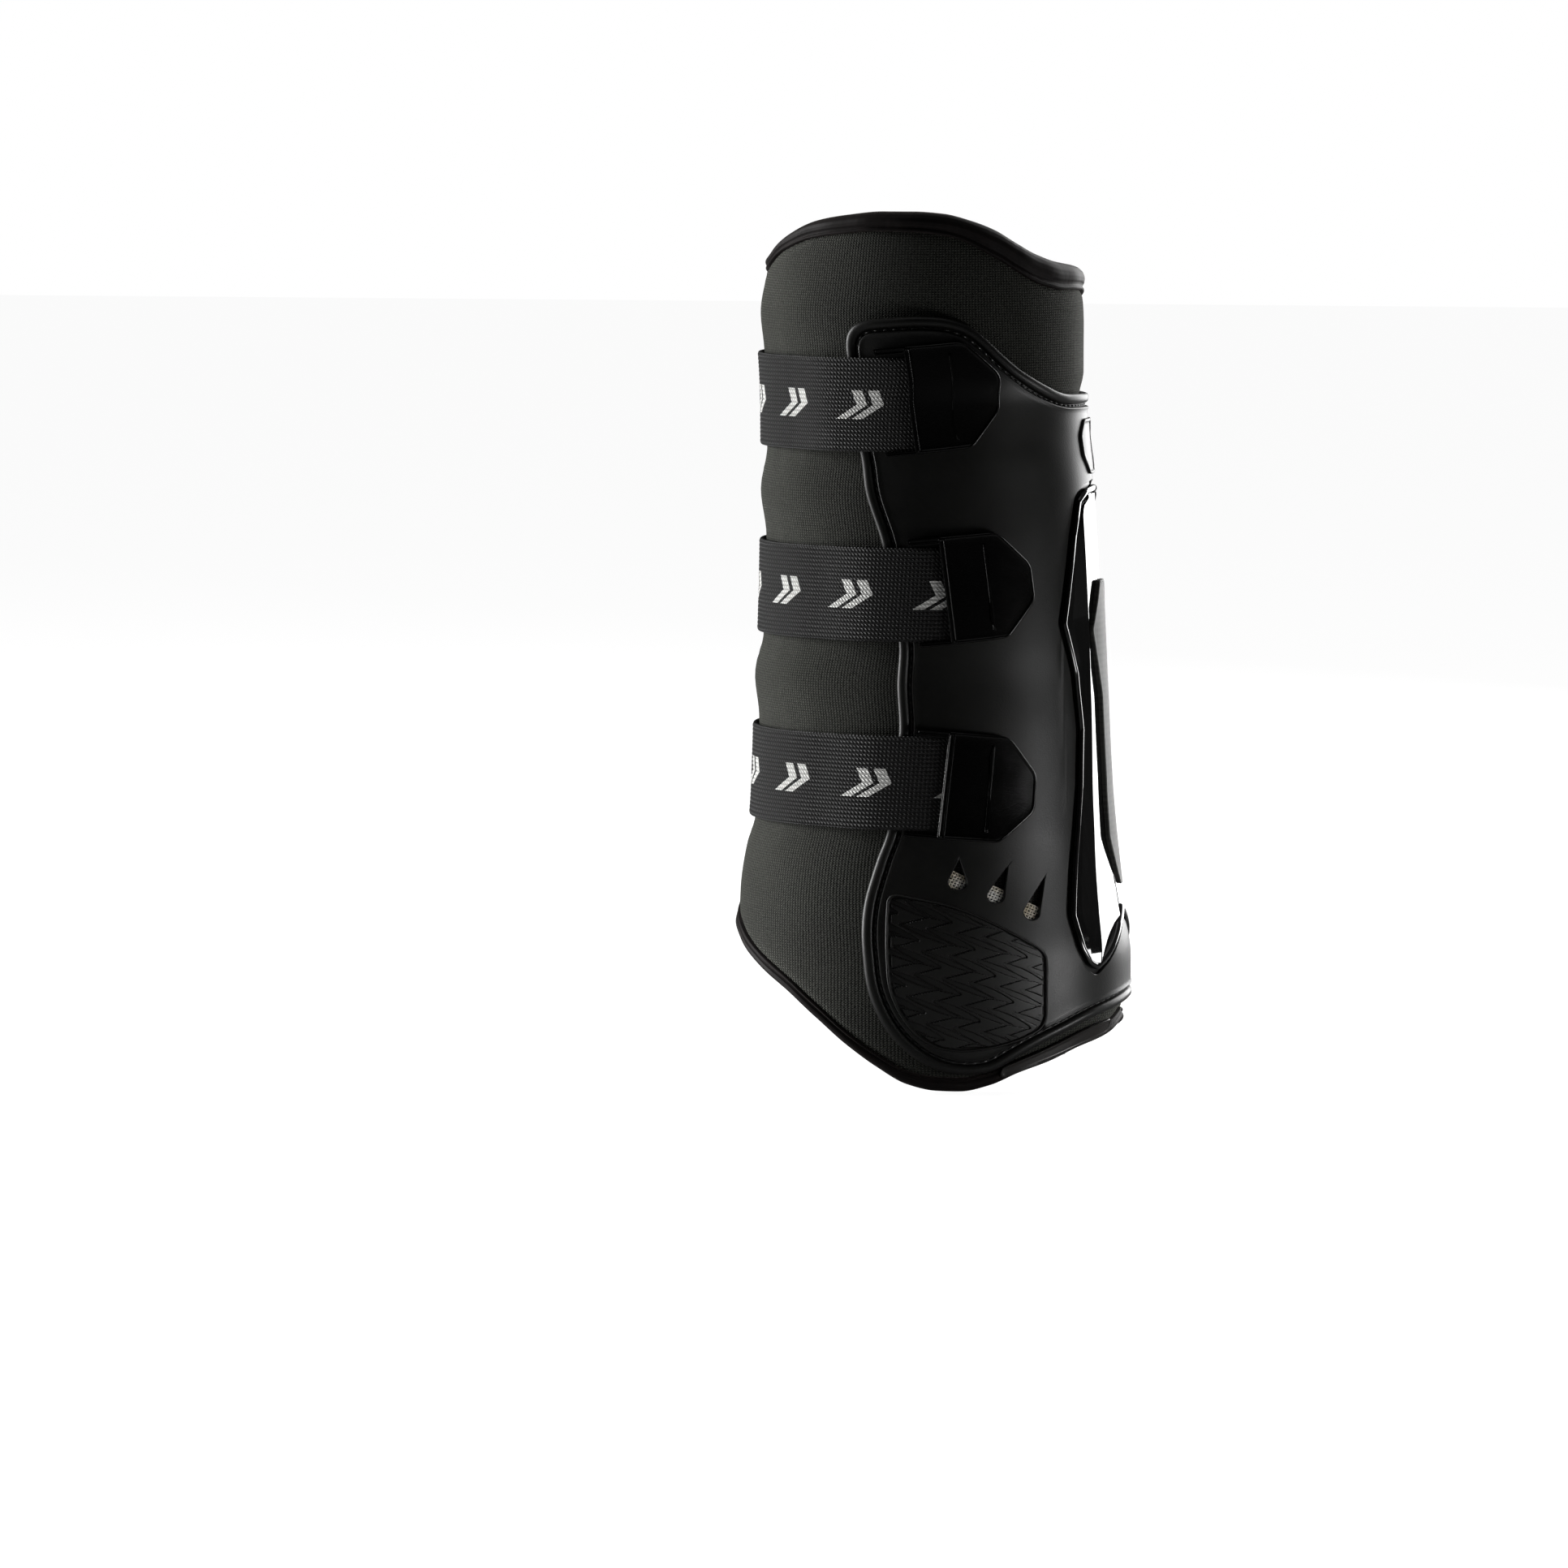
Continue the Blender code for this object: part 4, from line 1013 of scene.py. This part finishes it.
for name, spec in closures.items():
    front = addPiece(f"{name}Elastic.front", None, wovenElastic, [elastic(name, strap["sewn"],
                                                                          strap["split"])],
                     [f"{name}_strap_sewn_end", f"{name}_strap"], sharp=60)
    pivot = onWall(strap["pivot"], spec["height"], 1.5)
    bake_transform(front)
    rear = addPiece(f"{name}Elastic.tabEnd", None, wovenElastic, [elastic(name, strap["split"], 999)],
                    [f"{name}_strap_end"], sharp=60)
    tip, ahead = (onWall(spec["angle"] + step, spec["height"], 5.0) for step in (0, 1))
    way = (ahead - tip) / np.linalg.norm(ahead - tip)
    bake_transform(rear)

    corners = [(*onTab(name, a, b), r) for a, b, r in tab["outline"]]
    x, z = onTab(name, 23, 0)
    parts = [moulded(corners, tab["profile"], (x, z - 6, z + 6), step=0.9, spacing=2.2)]
    for bottom, top in tab["horns"]:
        x, z = onTab(name, 5, (bottom + top) / 2)
        parts.append(tabBar(name, 0.3, 10.2, bottom, top, tab["hornProfile"], (x, z - 0.1, z + 0.1)))
    for part, middle in (("bar", 0.3), ("fold", 0.5)):
        left, right, bottom, top = tab[part]
        x, z = onTab(name, (left + right) / 2, middle)
        parts.append(tabBar(name, left, right, bottom, top, tab[part + "Profile"], (x, z - 10, z + 10)))
    addPiece(f"{name}Tab", f"{name}_tab", tabRubber, parts, [f"{name}_tab"])
    for pad in ("hook_pad", "loop_pad"):
        cad = frame["nodes"][f"{name}_{pad}"]
        cad.data.materials.clear()
        cad.data.materials.append(fastenerTape)

    left, right, tall = tab["anchor"]
    bottom, top = spec["height"] - tall, spec["height"] + tall
    anchor = across([(left, bottom, 2), (right, bottom, 2), (right, top, 2), (left, top, 2)])
    middle = across([(132.2, spec["height"] - 9, spec["height"] + 9)])[0]
    patch = moulded(anchor, tab["anchorProfile"], middle, step=0.9, spacing=2.0)
    addPiece(f"{name}StrapAnchor", "flap", guardRubber, [patch], [f"{name}_strap_anchor"])
print("straps and tabs made")

# Stage.

stage = {
    "floor": (6, -0.0006),  # half its size, and its height
    "glow": (0.02, 0.94),  # of the floor, for other rays and as seen
    "fill": 0.16,         # of the air, behind the object
    "fillFalloff": 1.5,   # how fast it dims towards the front
    # place, target, size and power
    "lights": {"softboxLeft": ((-1.38, -0.08, 0.35), (0, 0, 0.13), (0.55, 1.2), 42),
               "softboxBackRight": ((0.66, 1.0, 0.3), (0, 0, 0.13), (0.9, 1.3), 31),
               "lowPanelRight": ((0.35, -0.145, 0.02), (0.03, -0.02, 0.02), (0.11, 0.1), 0.62),
               "lowPanelLeft": ((-0.38, -0.14, 0.03), (-0.03, -0.02, 0.04), (0.24, 0.12), 0.75),
               "softboxTop": ((0.1, -0.2, 1.5), (0, 0, 0.14), (0.8, 0.8), 0.8)},
    "camera": {"azimuth": 11, "elevation": 6, "distance": 2.5, "left": 0.049, "height": 0.0953,
               "lens": 175},
}

floorMesh = bpy.data.meshes.new("floor")
reach, floorTop = stage["floor"]
corners = [(x * reach, y * reach, floorTop) for x, y in ((-1, -1), (1, -1), (1, 1), (-1, 1))]
floorMesh.from_pydata(corners, [], [(0, 1, 2, 3)])
floor = bpy.data.objects.new("floor", floorMesh)
bpy.context.scene.collection.objects.link(floor)
paper, tree, shader = startMaterial("paleSeamlessPaper", Roughness=0.9)
shader.inputs["Base Color"].default_value = linear("#757575")
shader.inputs["Emission Color"].default_value = (1, 1, 1, 1)
ray = addNode(tree, "LightPath")
glow = addNode(tree, "MapRange", {0: ray.outputs["Is Camera Ray"], 3: stage["glow"][0],
                                  4: stage["glow"][1]})
tree.links.new(glow.outputs[0], shader.inputs["Emission Strength"])
floorMesh.materials.append(paper)

for name, (place, target, size, power) in stage["lights"].items():
    lamp = bpy.data.lights.new(name, "AREA")
    lamp.shape, lamp.size, lamp.size_y, lamp.energy = "RECTANGLE", size[0], size[1], power
    made = bpy.data.objects.new(name, lamp)
    made.location = place
    made.rotation_euler = (Vector(target) - Vector(place)).to_track_quat("-Z", "Y").to_euler()
    made.visible_camera = False
    bpy.context.scene.collection.objects.link(made)

world = bpy.data.worlds.new("studio")
bpy.context.scene.world = world
world.use_nodes = True
sky = world.node_tree
background = sky.nodes["Background"]
ray = addNode(sky, "LightPath")
way = addNode(sky, "SeparateXYZ", [addNode(sky, "TexCoord").outputs["Generated"]])
behind = addNode(sky, "Math.POWER", [addNode(sky, "MapRange", {0: way.outputs[1], 1: -1.0, 2: 1.0}),
                                     stage["fillFalloff"]])
fill = addNode(sky, "Math.MULTIPLY", [behind, stage["fill"]])
level = addNode(sky, "Mix", {0: ray.outputs["Is Camera Ray"], 2: fill, 3: 1.0})
sky.links.new(level.outputs[0], background.inputs["Strength"])
background.inputs["Color"].default_value = (1, 1, 1, 1)
bpy.context.scene.view_settings.view_transform = "Standard"

view = stage["camera"]
camera = bpy.data.objects.new("camera", bpy.data.cameras.new("camera"))
bpy.context.scene.collection.objects.link(camera)
azimuth, elevation = math.radians(view["azimuth"]), math.radians(view["elevation"])
aim = Vector((-view["left"] * math.cos(azimuth), -view["left"] * math.sin(azimuth), view["height"]))
back = Vector((math.sin(azimuth) * math.cos(elevation), -math.cos(azimuth) * math.cos(elevation),
               math.sin(elevation)))
camera.location = aim + back * view["distance"]
camera.rotation_euler = (-back).to_track_quat("-Z", "Y").to_euler()
camera.data.lens, camera.data.sensor_width = view["lens"], 36
bpy.context.scene.camera = camera
print("stage, lights and camera made")
